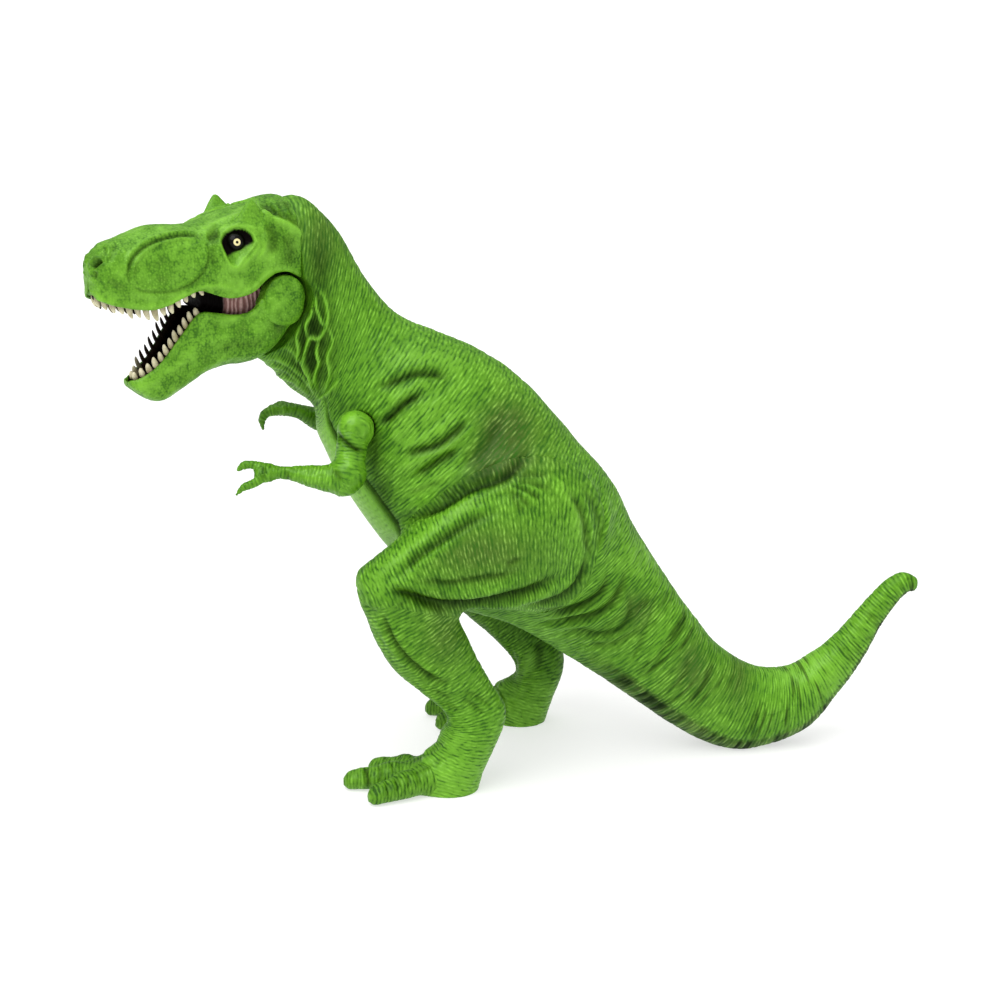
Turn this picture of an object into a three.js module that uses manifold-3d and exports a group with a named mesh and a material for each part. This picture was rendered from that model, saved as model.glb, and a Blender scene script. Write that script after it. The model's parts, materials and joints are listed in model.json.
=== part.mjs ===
import * as THREE from 'three';
import { mergeVertices } from 'three/addons/utils/BufferGeometryUtils.js';
import Module from 'manifold-3d';

// Toy dinosaur figure: a two-legged predator that stands on its feet and tail.
// It faces -X, its left side is -Y, and the floor is z = 0. Lengths are in millimetres.

// Driving dimensions of the body
const figureLength = 300;
const backHeight = 200;
const neckDepth = 58;
const neckWidth = 36;
const torsoDepth = 76;
const torsoWidth = 58;
const tailRootDepth = 47;
const tailRootWidth = 38;

// Driving dimensions of the head and jaws
const headLength = 73;
const headWidth = 37;
const headHeight = 33;
const jawLength = 55;
const jawWidth = 34;
const jawHeight = 31;
const hingeBossRadius = 8.3;
const hingePinRadius = 1.5;
const eyeRadius = 3.4;
const toothLength = 4.6;
const toothWidth = 2.5;
const gumHeight = 2.4;
const gumWidth = 2;
const lipWall = 2;
const tongueWidth = 8.4;
const tongueHeight = 3.6;

// Driving dimensions of the limbs
const footSpread = 66;
const thighDepth = 50;
const thighWidth = 31;
const shinDepth = 26;
const shinWidth = 21;
const toeHeight = 8.6;
const toeWidth = 9.6;
const hipPegRadius = 6;
const hipPegLength = 14;
const tailPegRadius = 9;
const tailPegLength = 14;
const neckPegRadius = 7;
const neckPegLength = 10;
const armLength = 42;
const armWidth = 10;
const shoulderRadius = 6.2;
const shoulderPegRadius = 2.6;
const shoulderPegLength = 9;
const snapRim = 0.6;

// Fit
const gap = 0.3;
const gumGap = 0.5;
const runningGap = 0.35;
const hipFillet = 14; // the skins of trunk and thigh start to swell at this distance
const kneeFillet = 8;
const toeFillet = 5;
const foldHalfWidth = 2;
const foldDepth = 1.1;
const groinHalfWidth = 2.8;
const groinDepth = 2;
const foldRise = 1; // how far a fold's cut stands out of the skin
const foldTaper = 0.3;
const jawOpen = 3; // degrees that the jaw opens past the pose that is modelled
const headTurn = 28; // degrees to the figure's left
const headDip = 2;

const wasm = await Module();
wasm.setup();

const degrees = Math.PI / 180;
const zAxis = new THREE.Vector3(0, 0, 1);
const yAxis = new THREE.Vector3(0, 1, 0);

// Colours and finishes
const skin = { color: 0x5f9a30, roughness: 0.55, metalness: 0 };
const limbSkin = { color: 0x69a836, roughness: 0.4, metalness: 0 };
const toothFinish = { color: 0xe6dcc0, roughness: 0.4, metalness: 0 };
const mouthFinish = { color: 0x7d4450, roughness: 0.45, metalness: 0 };
const eyeFinish = { color: 0x1b1a12, roughness: 0.15, metalness: 0 };
const pinFinish = { color: 0xa8abad, roughness: 0.3, metalness: 1 };

// Catmull-Rom curve through every column of a table of rows
function smoothRows(rows, perSpan) {
  const result = [];
  const row = (i) => rows[Math.min(Math.max(i, 0), rows.length - 1)];
  for (let i = 0; i < rows.length - 1; i += 1) {
    for (let j = 0; j < perSpan; j += 1) {
      const t = j / perSpan;
      result.push(row(i).map((value, k) => {
        const [a, b, c, d] = [row(i - 1)[k], value, row(i + 1)[k], row(i + 2)[k]];
        return b + 0.5 * t * (c - a + t * (2 * a - 5 * b + 4 * c - d + t * (3 * (b - c) + d - a)));
      }));
    }
  }
  result.push(rows[rows.length - 1]);
  return result;
}

// A closed body through rings of points, each end closed by a fan
function skinRings(rings) {
  const sides = rings[0].length;
  const points = rings.flat();
  const faces = [];
  for (let i = 0; i < rings.length - 1; i += 1) {
    for (let k = 0; k < sides; k += 1) {
      const a = i * sides + k;
      const b = i * sides + (k + 1) % sides;
      faces.push(a, b, b + sides, a, b + sides, a + sides);
    }
  }
  for (const [first, turned] of [[0, true], [(rings.length - 1) * sides, false]]) {
    const centre = new THREE.Vector3();
    for (let k = 0; k < sides; k += 1) centre.addScaledVector(points[first + k], 1 / sides);
    points.push(centre);
    for (let k = 0; k < sides; k += 1) {
      const [a, b] = [first + k, first + (k + 1) % sides];
      faces.push(...(turned ? [points.length - 1, b, a] : [points.length - 1, a, b]));
    }
  }
  const geometry = new THREE.BufferGeometry();
  geometry.setAttribute('position', new THREE.Float32BufferAttribute(points.flatMap((p) => p.toArray()), 3));
  geometry.setIndex(faces);
  return geometry;
}

// One section: an oval about a centre, with its own reach up and down, and rounder or squarer corners
function sectionRing({ centre, across, rise, halfWidth, up, down, corner = 2, egg = 0 }, sides) {
  const ring = [];
  for (let k = 0; k < sides; k += 1) {
    const angle = 2 * Math.PI * k / sides;
    const bend = (value) => Math.sign(value) * Math.abs(value) ** (2 / corner);
    const [side, height] = [bend(Math.cos(angle)), bend(Math.sin(angle))];
    const narrowed = 1 + egg * height;
    ring.push(centre.clone()
      .addScaledVector(across, halfWidth * narrowed * side)
      .addScaledVector(rise, height * (height > 0 ? up : down)));
  }
  return ring;
}

// Solid from a geometry, with its faces turned out
function solid(geometry) {
  const bare = geometry.clone();
  bare.deleteAttribute('normal');
  bare.deleteAttribute('uv');
  const merged = mergeVertices(bare);
  const meshOf = (triangles) => new wasm.Mesh({
    numProp: 3,
    vertProperties: new Float32Array(merged.attributes.position.array),
    triVerts: new Uint32Array(triangles),
  });
  const index = Array.from(merged.index.array);
  const body = new wasm.Manifold(meshOf(index));
  if (body.volume() > 0) return body;
  const turned = index.map((_, i) => index[i - i % 3 + [0, 2, 1][i % 3]]);
  return new wasm.Manifold(meshOf(turned));
}

function loft(sections, sides) {
  return solid(skinRings(sections.map((section) => sectionRing(section, sides))));
}

// The sections with the direction that each faces along the body
function withAxes(sections) {
  return sections.map((section) => ({
    ...section, axis: section.across.clone().cross(section.rise).normalize(),
  }));
}

// How far a point is from a body: its distance from the centre of the section that holds it, less the
// section's reach that way. Past the ends the distance to the nearer end counts too.
function apart(sections, point) {
  const places = sections.map(({ centre, axis }) => point.clone().sub(centre).dot(axis));
  let [best, nearest] = [-1, Infinity];
  for (let i = 0; i < sections.length - 1; i += 1) {
    const cost = point.distanceToSquared(sections[i].centre) + point.distanceToSquared(sections[i + 1].centre);
    if (places[i] * places[i + 1] <= 0 && cost < nearest) [best, nearest] = [i, cost];
  }
  const ends = [sections[0], sections[sections.length - 1]];
  const endDistance = ends.map(({ centre }) => point.distanceTo(centre));
  const nearEnd = endDistance[0] < endDistance[1] ? 0 : sections.length - 2;
  const start = best < 0 ? nearEnd : best;
  const [g, h] = [places[start], places[start + 1]];
  const crossed = g === h ? 0 : g / (g - h);
  const t = best < 0 ? Math.sign(nearEnd) : crossed;
  const mixed = (key) => sections[start][key] * (1 - t) + sections[start + 1][key] * t;
  const mixedVector = (key) => sections[start][key].clone().lerp(sections[start + 1][key], t);
  const offset = point.clone().sub(mixedVector('centre'));
  const [x, y] = [offset.dot(mixedVector('across')), offset.dot(mixedVector('rise'))];
  const v = y / mixed(y > 0 ? 'up' : 'down');
  const u = x / (mixed('halfWidth') * (1 + (sections[start].egg ?? 0) * Math.min(Math.max(v, -1), 1)));
  const size = Math.max(Math.hypot(u, v), 1e-3);
  const flat = Math.hypot(x, y) * (1 - 1 / size);
  return best < 0 ? Math.hypot(Math.max(flat, 0), Math.min(Math.abs(g), Math.abs(h))) : flat;
}

// How far a point of one skin goes out along its normal into the fillet with another body: until
// root(push) + root(distance) = root(reach). Under the other body it falls back.
function filletPush(point, normal, sections, reach) {
  const distance = apart(sections, point);
  if (distance >= reach) return 0;
  const slope = apart(sections, point.clone().add(normal)) - distance;
  const middle = reach / 4;
  const short = middle - (distance + slope * middle);
  if (short > 0) return Math.max(middle - 0.5 * short, 0);
  let [low, high] = [0, middle];
  for (let i = 0; i < 12; i += 1) {
    const t = (low + high) / 2;
    const over = Math.sqrt(t) + Math.sqrt(Math.max(distance + slope * t, 0)) > Math.sqrt(reach);
    [low, high] = over ? [low, t] : [t, high];
  }
  return high;
}

// Loft whose rings swell in their own planes into the fillets with other bodies, and grow by a gap
function filletedLoft(sections, sides, others, grown = 0) {
  const rings = sections.map((section) => sectionRing(section, sides));
  return solid(skinRings(withAxes(sections).map(({ centre, axis }, i) => rings[i].map((point, k) => {
    const run = rings[Math.min(i + 1, rings.length - 1)][k].clone().sub(rings[Math.max(i - 1, 0)][k]);
    const around = rings[i][(k + 1) % sides].clone().sub(rings[i][(k + sides - 1) % sides]);
    const normal = run.cross(around).projectOnPlane(axis).normalize();
    if (normal.dot(point.clone().sub(centre)) < 0) normal.negate();
    const push = Math.max(0, ...others.map(({ body, reach }) => filletPush(point, normal, body, reach)));
    return point.clone().addScaledVector(normal, push + grown);
  }))));
}

// A turned shape from rows of radius and place along a direction
function turned(profile, from, direction, sides) {
  const points = profile.map(([radius, along]) => new THREE.Vector2(radius, along));
  const geometry = new THREE.LatheGeometry(points, sides);
  const turn = new THREE.Quaternion().setFromUnitVectors(yAxis, direction);
  geometry.applyQuaternion(turn);
  geometry.translate(from.x, from.y, from.z);
  return solid(geometry);
}

function cylinder(radius, start, length, from, direction, sides = 16) {
  return turned([[0, start], [radius, start], [radius, start + length], [0, start + length]],
    from, direction, sides);
}

const join = (bodies) => bodies.reduce((whole, body) => whole.add(body));
const cut = (body, tools) => tools.reduce((rest, tool) => rest.subtract(tool), body);

// The largest of the pieces that a cut leaves
function mainPiece(body) {
  return body.decompose().sort((a, b) => b.volume() - a.volume())[0];
}

const figure = new THREE.Group();

function addPart(name, body, finish) {
  const { vertProperties, triVerts, numProp } = body.getMesh();
  const geometry = new THREE.BufferGeometry();
  const positions = [];
  for (let i = 0; i < vertProperties.length; i += numProp) {
    positions.push(vertProperties[i], vertProperties[i + 1], vertProperties[i + 2]);
  }
  geometry.setAttribute('position', new THREE.Float32BufferAttribute(positions, 3));
  geometry.setIndex(Array.from(triVerts));
  const mesh = new THREE.Mesh(geometry, new THREE.MeshStandardMaterial(finish));
  mesh.name = name;
  figure.add(mesh);
}

// Trunk: rows of place along, place across, height, tilt of the section in degrees, turn in degrees,
// half depth and half width. Places are shares of the figure's length, spread and height.
const neckShares = [
  [-0.288, -0.08, 0.876, 84, 24, 0.39, 0.4],
  [-0.2545, -0.02, 0.8865, 78, 20, 0.505, 0.455],
  [-0.2187, 0, 0.8395, 73, 12, 0.498, 0.475],
  [-0.1883, 0, 0.779, 68, 5, 0.42, 0.47],
  [-0.1685, 0, 0.721, 57, 0, 0.435, 0.53],
];
const torsoShares = [
  [-0.137, 0, 0.6755, 51, 0, 0.393, 0.41],
  [-0.0987, 0, 0.6265, 47, 0, 0.459, 0.465],
  [-0.0553, 0, 0.559, 42, 0, 0.497, 0.5],
  [-0.0113, 0, 0.482, 38, 0, 0.5, 0.51],
  [0.038, 0, 0.4075, 38, 0, 0.474, 0.485],
  [0.0863, 0, 0.3435, 37, 0, 0.378, 0.405],
];
const tailShares = [
  [0.137, 0, 0.2715, 40, 0, 0.502, 0.5],
  [0.1857, 0, 0.1985, 43, 0, 0.42, 0.434],
  [0.2417, 0, 0.124, 53, 0, 0.363, 0.382],
  [0.304, 0, 0.0735, 71, 0, 0.348, 0.342],
  [0.3667, 0, 0.084, 94, 0, 0.283, 0.276],
  [0.4107, 0, 0.1385, 126, 0, 0.19, 0.205],
  [0.4403, 0, 0.191, 133, 0, 0.143, 0.16],
  [0.4633, 0, 0.243, 138, 0, 0.112, 0.13],
  [0.4873, 0, 0.2895, 135, 0, 0.1, 0.105],
  [0.504, 0, 0.307, 114, 0, 0.086, 0.09],
  [0.5165, 0, 0.304, 90, 0, 0.058, 0.06],
  [0.52, 0, 0.3025, 88, 0, 0.024, 0.024],
];
const bellyEgg = 0.1; // how much wider the back is than the belly

// Rows in millimetres, so that neck, torso and tail run into one another
function trunkRows(shares, depth, width, spread) {
  return shares.map(([along, across, up, tilt, turn, halfDepth, halfWidth]) => [
    along * figureLength, across * spread, up * backHeight, tilt, turn,
    halfDepth * depth, halfWidth * width,
  ]);
}

function trunkSection([x, y, z, tilt, turn, halfDepth, halfWidth]) {
  const backward = new THREE.Vector3(Math.cos(turn * degrees), Math.sin(turn * degrees), 0);
  const rise = backward.clone().multiplyScalar(Math.cos(tilt * degrees))
    .addScaledVector(zAxis, Math.sin(tilt * degrees));
  return {
    centre: new THREE.Vector3(x, y, z),
    across: new THREE.Vector3(-backward.y, backward.x, 0),
    rise,
    halfWidth,
    up: halfDepth,
    down: halfDepth,
    corner: 2.15,
    egg: bellyEgg,
  };
}

const trunkTable = [
  ...trunkRows(neckShares, neckDepth, neckWidth, neckWidth),
  ...trunkRows(torsoShares, torsoDepth, torsoWidth, torsoWidth),
  ...trunkRows(tailShares, tailRootDepth, tailRootWidth, tailRootWidth),
];
const rowsPerSpan = 2;
const trunkSmooth = smoothRows(trunkTable, rowsPerSpan);
const seamRow = (neckShares.length + torsoShares.length) * rowsPerSpan;
const torsoRows = trunkSmooth.slice(0, seamRow + 1);
const tailRows = trunkSmooth.slice(seamRow);

// The tail meets the torso at the seam, with a gap
const seam = trunkSection(trunkTable[neckShares.length + torsoShares.length]);
const seamAxis = seam.across.clone().cross(seam.rise).normalize();
if (seamAxis.x < 0) seamAxis.negate();
const tailStart = [...tailRows[0]];
tailStart[0] += seamAxis.x * gap;
tailStart[2] += seamAxis.z * gap;

// Hips and shoulders sit on the torso's sides
const hipSpreadShare = 1.07;
const shoulderSpreadShare = 0.83;
const hipSpread = hipSpreadShare * torsoWidth;
const shoulderSpread = shoulderSpreadShare * torsoWidth;

// Everything below the floor is cut away
const floorReach = 2 * figureLength;
const belowFloor = solid(new THREE.BoxGeometry(floorReach, floorReach, backHeight)
  .translate(0, 0, -backHeight / 2));

// Head frame: the origin is the middle of the jaw hinge
const hingeShare = { along: -0.2736, across: -0.05, up: 0.8663 };
const hinge = new THREE.Vector3(
  hingeShare.along * figureLength, hingeShare.across * torsoWidth, hingeShare.up * backHeight);
const headAxes = new THREE.Matrix4().makeRotationZ(headTurn * degrees)
  .multiply(new THREE.Matrix4().makeRotationY(-headDip * degrees));
const headForward = new THREE.Vector3(-1, 0, 0).transformDirection(headAxes);
const headLeft = new THREE.Vector3(0, -1, 0).transformDirection(headAxes);
const headUp = new THREE.Vector3(0, 0, 1).transformDirection(headAxes);

function headPoint(left, forward, up) {
  return hinge.clone().addScaledVector(headLeft, left)
    .addScaledVector(headForward, forward).addScaledVector(headUp, up);
}

// A body in the head frame from rows of forward, top, bottom, half width and height of the widest line
function headLoft(rows, corner, sides, grown = 0, perSpan = 2) {
  return loft(smoothRows(rows, perSpan).map(([forward, top, bottom, halfWidth, wide]) => ({
    centre: headPoint(0, forward, wide),
    across: headLeft,
    rise: headUp,
    halfWidth: halfWidth + grown,
    up: top - wide + grown,
    down: wide - bottom + grown,
    corner,
  })), sides);
}

// Rows as shares of a length, a height and a width
function headRows(shares, length, height, width) {
  return shares.map(([forward, top, bottom, halfWidth, wide]) => [
    forward * length, top * height, bottom * height, halfWidth * width, wide * height,
  ]);
}

const skullShares = [
  [-0.09, 0.995, 0.04, 0.465, 0.5],
  [-0.02, 0.98, 0, 0.497, 0.42],
  [0.04, 0.93, 0.02, 0.505, 0.4],
  [0.1, 0.905, 0.04, 0.505, 0.38],
  [0.2, 0.865, 0.06, 0.475, 0.36],
  [0.3, 0.79, 0.115, 0.438, 0.36],
  [0.39, 0.775, 0.165, 0.4, 0.36],
  [0.47, 0.79, 0.11, 0.367, 0.34],
  [0.55, 0.795, 0.04, 0.34, 0.31],
  [0.63, 0.755, 0.01, 0.318, 0.29],
  [0.715, 0.7, 0.035, 0.292, 0.29],
  [0.775, 0.655, 0.105, 0.26, 0.32],
  [0.815, 0.585, 0.165, 0.218, 0.36],
  [0.842, 0.49, 0.24, 0.14, 0.38],
  [0.85, 0.43, 0.33, 0.05, 0.38],
];
const palateShares = [
  [-0.02, 0.12, -0.3, 0.425, -0.05],
  [0.12, 0.2, -0.3, 0.425, -0.05],
  [0.2, 0.27, -0.3, 0.41, -0.05],
  [0.28, 0.33, -0.3, 0.38, -0.05],
  [0.36, 0.37, -0.3, 0.346, -0.05],
  [0.44, 0.37, -0.3, 0.315, -0.05],
  [0.52, 0.34, -0.3, 0.29, -0.05],
  [0.6, 0.3, -0.3, 0.268, -0.05],
  [0.68, 0.27, -0.3, 0.24, -0.05],
  [0.735, 0.26, -0.3, 0.2, -0.05],
  [0.785, 0.25, -0.3, 0.14, -0.05],
];
const jawShares = [
  [-0.07, -0.1, -0.3, 0.44, -0.2],
  [0.0, 0, -0.52, 0.46, -0.25],
  [0.07, 0.1, -0.64, 0.47, -0.3],
  [0.16, 0.02, -0.71, 0.46, -0.35],
  [0.24, -0.09, -0.73, 0.42, -0.35],
  [0.33, -0.115, -0.725, 0.385, -0.35],
  [0.43, -0.1, -0.76, 0.352, -0.37],
  [0.52, -0.1, -0.83, 0.32, -0.42],
  [0.62, -0.3, -0.93, 0.27, -0.57],
  [0.74, -0.55, -1.03, 0.232, -0.76],
  [0.82, -0.67, -1.0, 0.205, -0.82],
  [0.895, -0.745, -0.9, 0.155, -0.82],
  [0.935, -0.76, -0.84, 0.09, -0.8],
];
const troughShares = [
  [-0.25, 0.4, -0.43, 0.36, 0.1],
  [0.1, 0.4, -0.45, 0.36, 0.1],
  [0.24, 0.3, -0.46, 0.35, 0.1],
  [0.33, 0.2, -0.5, 0.335, -0.1],
  [0.43, 0.2, -0.55, 0.302, -0.1],
  [0.52, 0.1, -0.56, 0.255, -0.2],
  [0.62, 0, -0.67, 0.21, -0.4],
  [0.74, -0.2, -0.8, 0.175, -0.6],
  [0.82, -0.4, -0.83, 0.145, -0.7],
  [0.875, -0.5, -0.82, 0.09, -0.74],
];
const skullRows = headRows(skullShares, headLength, headHeight, headWidth);
const palateRows = headRows(palateShares, headLength, headHeight, headWidth);
const jawRows = headRows(jawShares, jawLength, jawHeight, jawWidth);
const troughRows = headRows(troughShares, jawLength, jawHeight, jawWidth);

// Value of one column of smoothed rows at a place along the head
function along(rows, forward, column) {
  const smooth = smoothRows(rows, 4);
  const next = Math.max(1, smooth.findIndex((row) => row[0] >= forward));
  const [a, b] = [smooth[next - 1], smooth[next]];
  return a[column] + (b[column] - a[column]) * (forward - a[0]) / (b[0] - a[0]);
}

const headRight = headLeft.clone().negate();

// Round bosses of the jaw at the hinge, on both sides, with a rounded outer edge
const bossOuter = 0.5 * headWidth;
const bossInner = 0.36 * jawWidth;
const bossEdge = 0.2 * hingeBossRadius;
function hingeBosses(grown) {
  const radius = hingeBossRadius + grown;
  const profile = [
    [0, bossInner - grown], [radius, bossInner - grown], [radius, bossOuter - bossEdge],
    [radius - bossEdge, bossOuter + grown], [0, bossOuter + grown],
  ];
  return [headLeft, headRight].map((side) => turned(profile, hinge, side, 24));
}

// The arch over each boss is cut through the whole cheek
const arches = [headLeft, headRight].map((side) => cylinder(hingeBossRadius + 2 * runningGap,
  bossInner - gap, headWidth, hinge, side, 24));

// The neck stops behind the skull and along the rear and lower edge of the jaw when it is fully open
function throatPrism() {
  const [back, top] = [skullRows[0][0] - gap, 1.3 * headHeight];
  const [turnedCos, turnedSin] = [Math.cos(jawOpen * degrees), Math.sin(jawOpen * degrees)];
  const rearEdge = jawRows.slice(0, 8).map(([forward, , bottom]) => {
    const [x, y] = [forward - runningGap, bottom - runningGap];
    return [x * turnedCos + y * turnedSin, y * turnedCos - x * turnedSin];
  });
  const outline = [
    [back, top], [back, rearEdge[0][1]], ...rearEdge, [rearEdge[7][0], top],
  ];
  return solid(skinRings([-headWidth, headWidth].map((left) => outline.map(
    ([forward, up]) => headPoint(left, forward, up)))));
}

// Teeth on a gum bar that follows the inside of a lip
function gumPath(rows, edgeColumn, fromShare, toShare, inset, lift, count) {
  const [length, end] = [rows[rows.length - 1][0] * toShare, rows[rows.length - 1][0] * fromShare];
  const half = [];
  for (let i = 0; i <= count; i += 1) {
    const turn = i / count * Math.PI / 2;
    const forward = end + (length - end) * Math.sin(turn);
    const width = Math.max(along(rows, forward, 3) - inset, 0) * (i === count ? 0 : 1);
    half.push(headPoint(width, forward, along(rows, forward, edgeColumn) + lift));
  }
  const far = half.slice(0, -1).map((point) => {
    const left = point.clone().sub(hinge).dot(headLeft);
    return point.clone().addScaledVector(headLeft, -2 * left);
  });
  return new THREE.CatmullRomCurve3([...half, ...far.reverse()], false, 'centripetal');
}

function gumBar(path, grown) {
  const [width, height] = [gumWidth / 2 + grown, gumHeight / 2 + grown];
  const rings = [];
  const steps = 26;
  for (let i = 0; i <= steps; i += 1) {
    const centre = path.getPointAt(i / steps);
    const tangent = path.getTangentAt(i / steps);
    if (i === 0) centre.addScaledVector(tangent, -grown);
    if (i === steps) centre.addScaledVector(tangent, grown);
    const across = tangent.clone().cross(headUp).normalize();
    rings.push([[-1, -1], [1, -1], [1, 1], [-1, 1]].map(([side, height_]) => centre.clone()
      .addScaledVector(across, side * width).addScaledVector(headUp, height_ * height)));
  }
  return solid(skinRings(rings));
}

// One blunt cone, curved a little towards the throat
const toothRingShares = [[1, -0.3], [0.9, 0.4], [0.3, 0.95]];
function tooth(base, direction, tangent, length, width) {
  const back = headForward.clone().negate();
  const outward = tangent.clone().cross(direction).normalize();
  const rings = toothRingShares.map(([size, reach]) => {
    const centre = base.clone().addScaledVector(direction, reach * length)
      .addScaledVector(back, 0.16 * length * Math.max(reach, 0) ** 2);
    return sectionRing({
      centre, across: outward, rise: tangent, halfWidth: size * 0.31 * width,
      up: size * 0.44 * width, down: size * 0.44 * width,
    }, 5);
  });
  return solid(skinRings(rings));
}

// Lengths of successive teeth, as shares of the longest, from the corner of the mouth to the front
const upperToothShares = [0.5, 0.62, 0.7, 0.8, 0.95, 0.85, 1.1, 0.95, 0.8, 0.95, 0.75, 0.8, 0.7, 0.65];
const lowerToothShares = [0.5, 0.65, 0.8, 0.7, 0.9, 0.85, 0.75, 0.9, 0.7, 0.8, 0.65, 0.6];

function toothRow(path, shares, up) {
  const direction = headUp.clone().multiplyScalar(up ? 1 : -1);
  const teeth = [];
  shares.forEach((share, i) => {
    for (const side of [0, 1]) {
      const reach = 0.5 * (i + 0.5) / shares.length;
      const place = path.getPointAt(side ? 1 - reach : reach);
      place.addScaledVector(direction, 0.3 * gumHeight);
      const tangent = path.getTangentAt(side ? 1 - reach : reach);
      teeth.push(tooth(place, direction, tangent, share * toothLength, toothWidth));
    }
  });
  return join([gumBar(path, 0), ...teeth]);
}

const upperPath = gumPath(palateRows, 1, 0.5, 1, gumWidth / 2 + gap, 0, 14);
// The upper gum bar follows the lip's edge, not the roof of the mouth
upperPath.points.forEach((point) => {
  const local = point.clone().sub(hinge);
  const lip = along(skullRows, local.dot(headForward), 2);
  point.addScaledVector(headUp, lip - local.dot(headUp) + 0.45 * gumHeight);
});
const lowerPath = gumPath(jawRows, 1, 0.62, 0.965, lipWall / 2 + gumWidth / 2, -0.45 * gumHeight, 12);

// Mouth insert: the painted throat block that stays with the head, between the two sides of the jaw
const insertShares = [
  [-0.058, 0.05, -0.25, 0.29, -0.1],
  [0.0, 0.18, -0.34, 0.29, -0.1],
  [0.12, 0.2, -0.28, 0.285, -0.05],
  [0.22, 0.27, -0.18, 0.265, 0],
  [0.3, 0.32, -0.12, 0.235, 0.05],
  [0.335, 0.3, -0.04, 0.21, 0.1],
];
const insertRows = headRows(insertShares, headLength, headHeight, headWidth);
const insertGrown = headLoft(insertRows, 4, 16, gap, 1);

// Pin of the jaw, through the insert and into a blind hole in each side of the jaw
const pinHalf = bossInner + 0.35 * (bossOuter - bossInner);
const pinBody = (radius, half) => cylinder(radius, -half, 2 * half, hinge, headLeft, 14);

// Eyes sit in shallow hollows
const eyeShare = { forward: 0.211, up: 0.594 };
const hollowShare = { length: 0.085, height: 0.165, depth: 0.07 };
const eyePlace = { forward: eyeShare.forward * headLength, up: eyeShare.up * headHeight };
const eyeSide = 0.425 * headWidth;
const eyeCentre = (side) => headPoint(side * (eyeSide - 0.72 * eyeRadius), eyePlace.forward, eyePlace.up);

function ball(centre, radius, sides = 12) {
  return solid(new THREE.SphereGeometry(radius, sides, 0.6 * sides).translate(centre.x, centre.y, centre.z));
}

function eyeHollow(side) {
  const geometry = new THREE.SphereGeometry(1, 18, 12)
    .scale(hollowShare.length * headLength, hollowShare.depth * headWidth, hollowShare.height * headHeight)
    .applyMatrix4(headAxes);
  const centre = headPoint(side * eyeSide, eyePlace.forward, eyePlace.up);
  return solid(geometry.translate(centre.x, centre.y, centre.z));
}

// Short horn over each eye
const hornShares = [
  [0.115, 0.72, 0.34, 0.085, 0.15],
  [0.12, 0.86, 0.35, 0.055, 0.11],
  [0.12, 0.94, 0.36, 0.03, 0.06],
  [0.12, 1.0, 0.365, 0.008, 0.02],
];
function horn(side) {
  return loft(smoothRows(hornShares, 2).map(([forward, up, left, length, width]) => ({
    centre: headPoint(side * left * headWidth, forward * headLength, up * headHeight),
    across: headLeft,
    rise: headForward,
    halfWidth: width * headWidth / 2,
    up: length * headLength,
    down: length * headLength,
  })), 10);
}

// Peg that joins the head to the neck
const neckPegHeight = 0.45 * headHeight;
const neckPegStart = skullRows[0][0];
const neckPeg = (grown) => cylinder(neckPegRadius + grown, -hingeBossRadius / 2,
  neckPegLength + hingeBossRadius / 2 + grown, headPoint(0, neckPegStart, neckPegHeight),
  headForward.clone().negate());

// Legs: thigh and shin are lofts of rows of place along, half spread, height, tilt, half depth, half width
const nearThighShares = [
  [0.098, 0.33, 0.425, 78, 0.2, 0.12],
  [0.075, 0.38, 0.44, 82, 0.4, 0.33],
  [0.035, 0.45, 0.452, 90, 0.51, 0.5],
  [-0.014, 0.49, 0.45, 98, 0.48, 0.52],
  [-0.058, 0.52, 0.43, 104, 0.385, 0.48],
  [-0.1, 0.545, 0.405, 110, 0.3, 0.41],
  [-0.136, 0.555, 0.387, 116, 0.215, 0.35],
  [-0.158, 0.555, 0.377, 118, 0.14, 0.25],
  [-0.167, 0.555, 0.373, 118, 0.06, 0.1],
];
const nearShinShares = [
  [-0.146, 0.545, 0.406, 196, 0.27, 0.36],
  [-0.137, 0.545, 0.368, 204, 0.41, 0.47],
  [-0.118, 0.545, 0.32, 208, 0.5, 0.52],
  [-0.098, 0.54, 0.27, 212, 0.49, 0.5],
  [-0.073, 0.53, 0.22, 212, 0.41, 0.43],
  [-0.05, 0.515, 0.175, 208, 0.37, 0.37],
  [-0.039, 0.495, 0.136, 192, 0.41, 0.39],
  [-0.049, 0.475, 0.092, 166, 0.385, 0.42],
  [-0.061, 0.46, 0.045, 160, 0.37, 0.45],
  [-0.071, 0.455, -0.01, 162, 0.37, 0.45],
];
const farThighShares = [
  [0.098, 0.33, 0.425, 78, 0.2, 0.12],
  [0.075, 0.38, 0.44, 84, 0.4, 0.33],
  [0.035, 0.45, 0.45, 94, 0.51, 0.5],
  [-0.002, 0.5, 0.425, 106, 0.45, 0.52],
  [-0.033, 0.54, 0.39, 118, 0.36, 0.48],
  [-0.06, 0.56, 0.35, 124, 0.29, 0.41],
  [-0.078, 0.57, 0.325, 128, 0.2, 0.3],
  [-0.086, 0.57, 0.315, 130, 0.08, 0.12],
];
const farShinShares = [
  [-0.066, 0.56, 0.36, 196, 0.29, 0.36],
  [-0.047, 0.56, 0.315, 216, 0.42, 0.47],
  [-0.009, 0.555, 0.262, 226, 0.43, 0.5],
  [0.029, 0.55, 0.2, 226, 0.38, 0.45],
  [0.056, 0.545, 0.15, 214, 0.38, 0.4],
  [0.064, 0.54, 0.105, 192, 0.37, 0.39],
  [0.052, 0.535, 0.06, 166, 0.36, 0.42],
  [0.042, 0.53, 0.02, 162, 0.37, 0.45],
  [0.038, 0.53, -0.01, 162, 0.38, 0.45],
];
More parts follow.
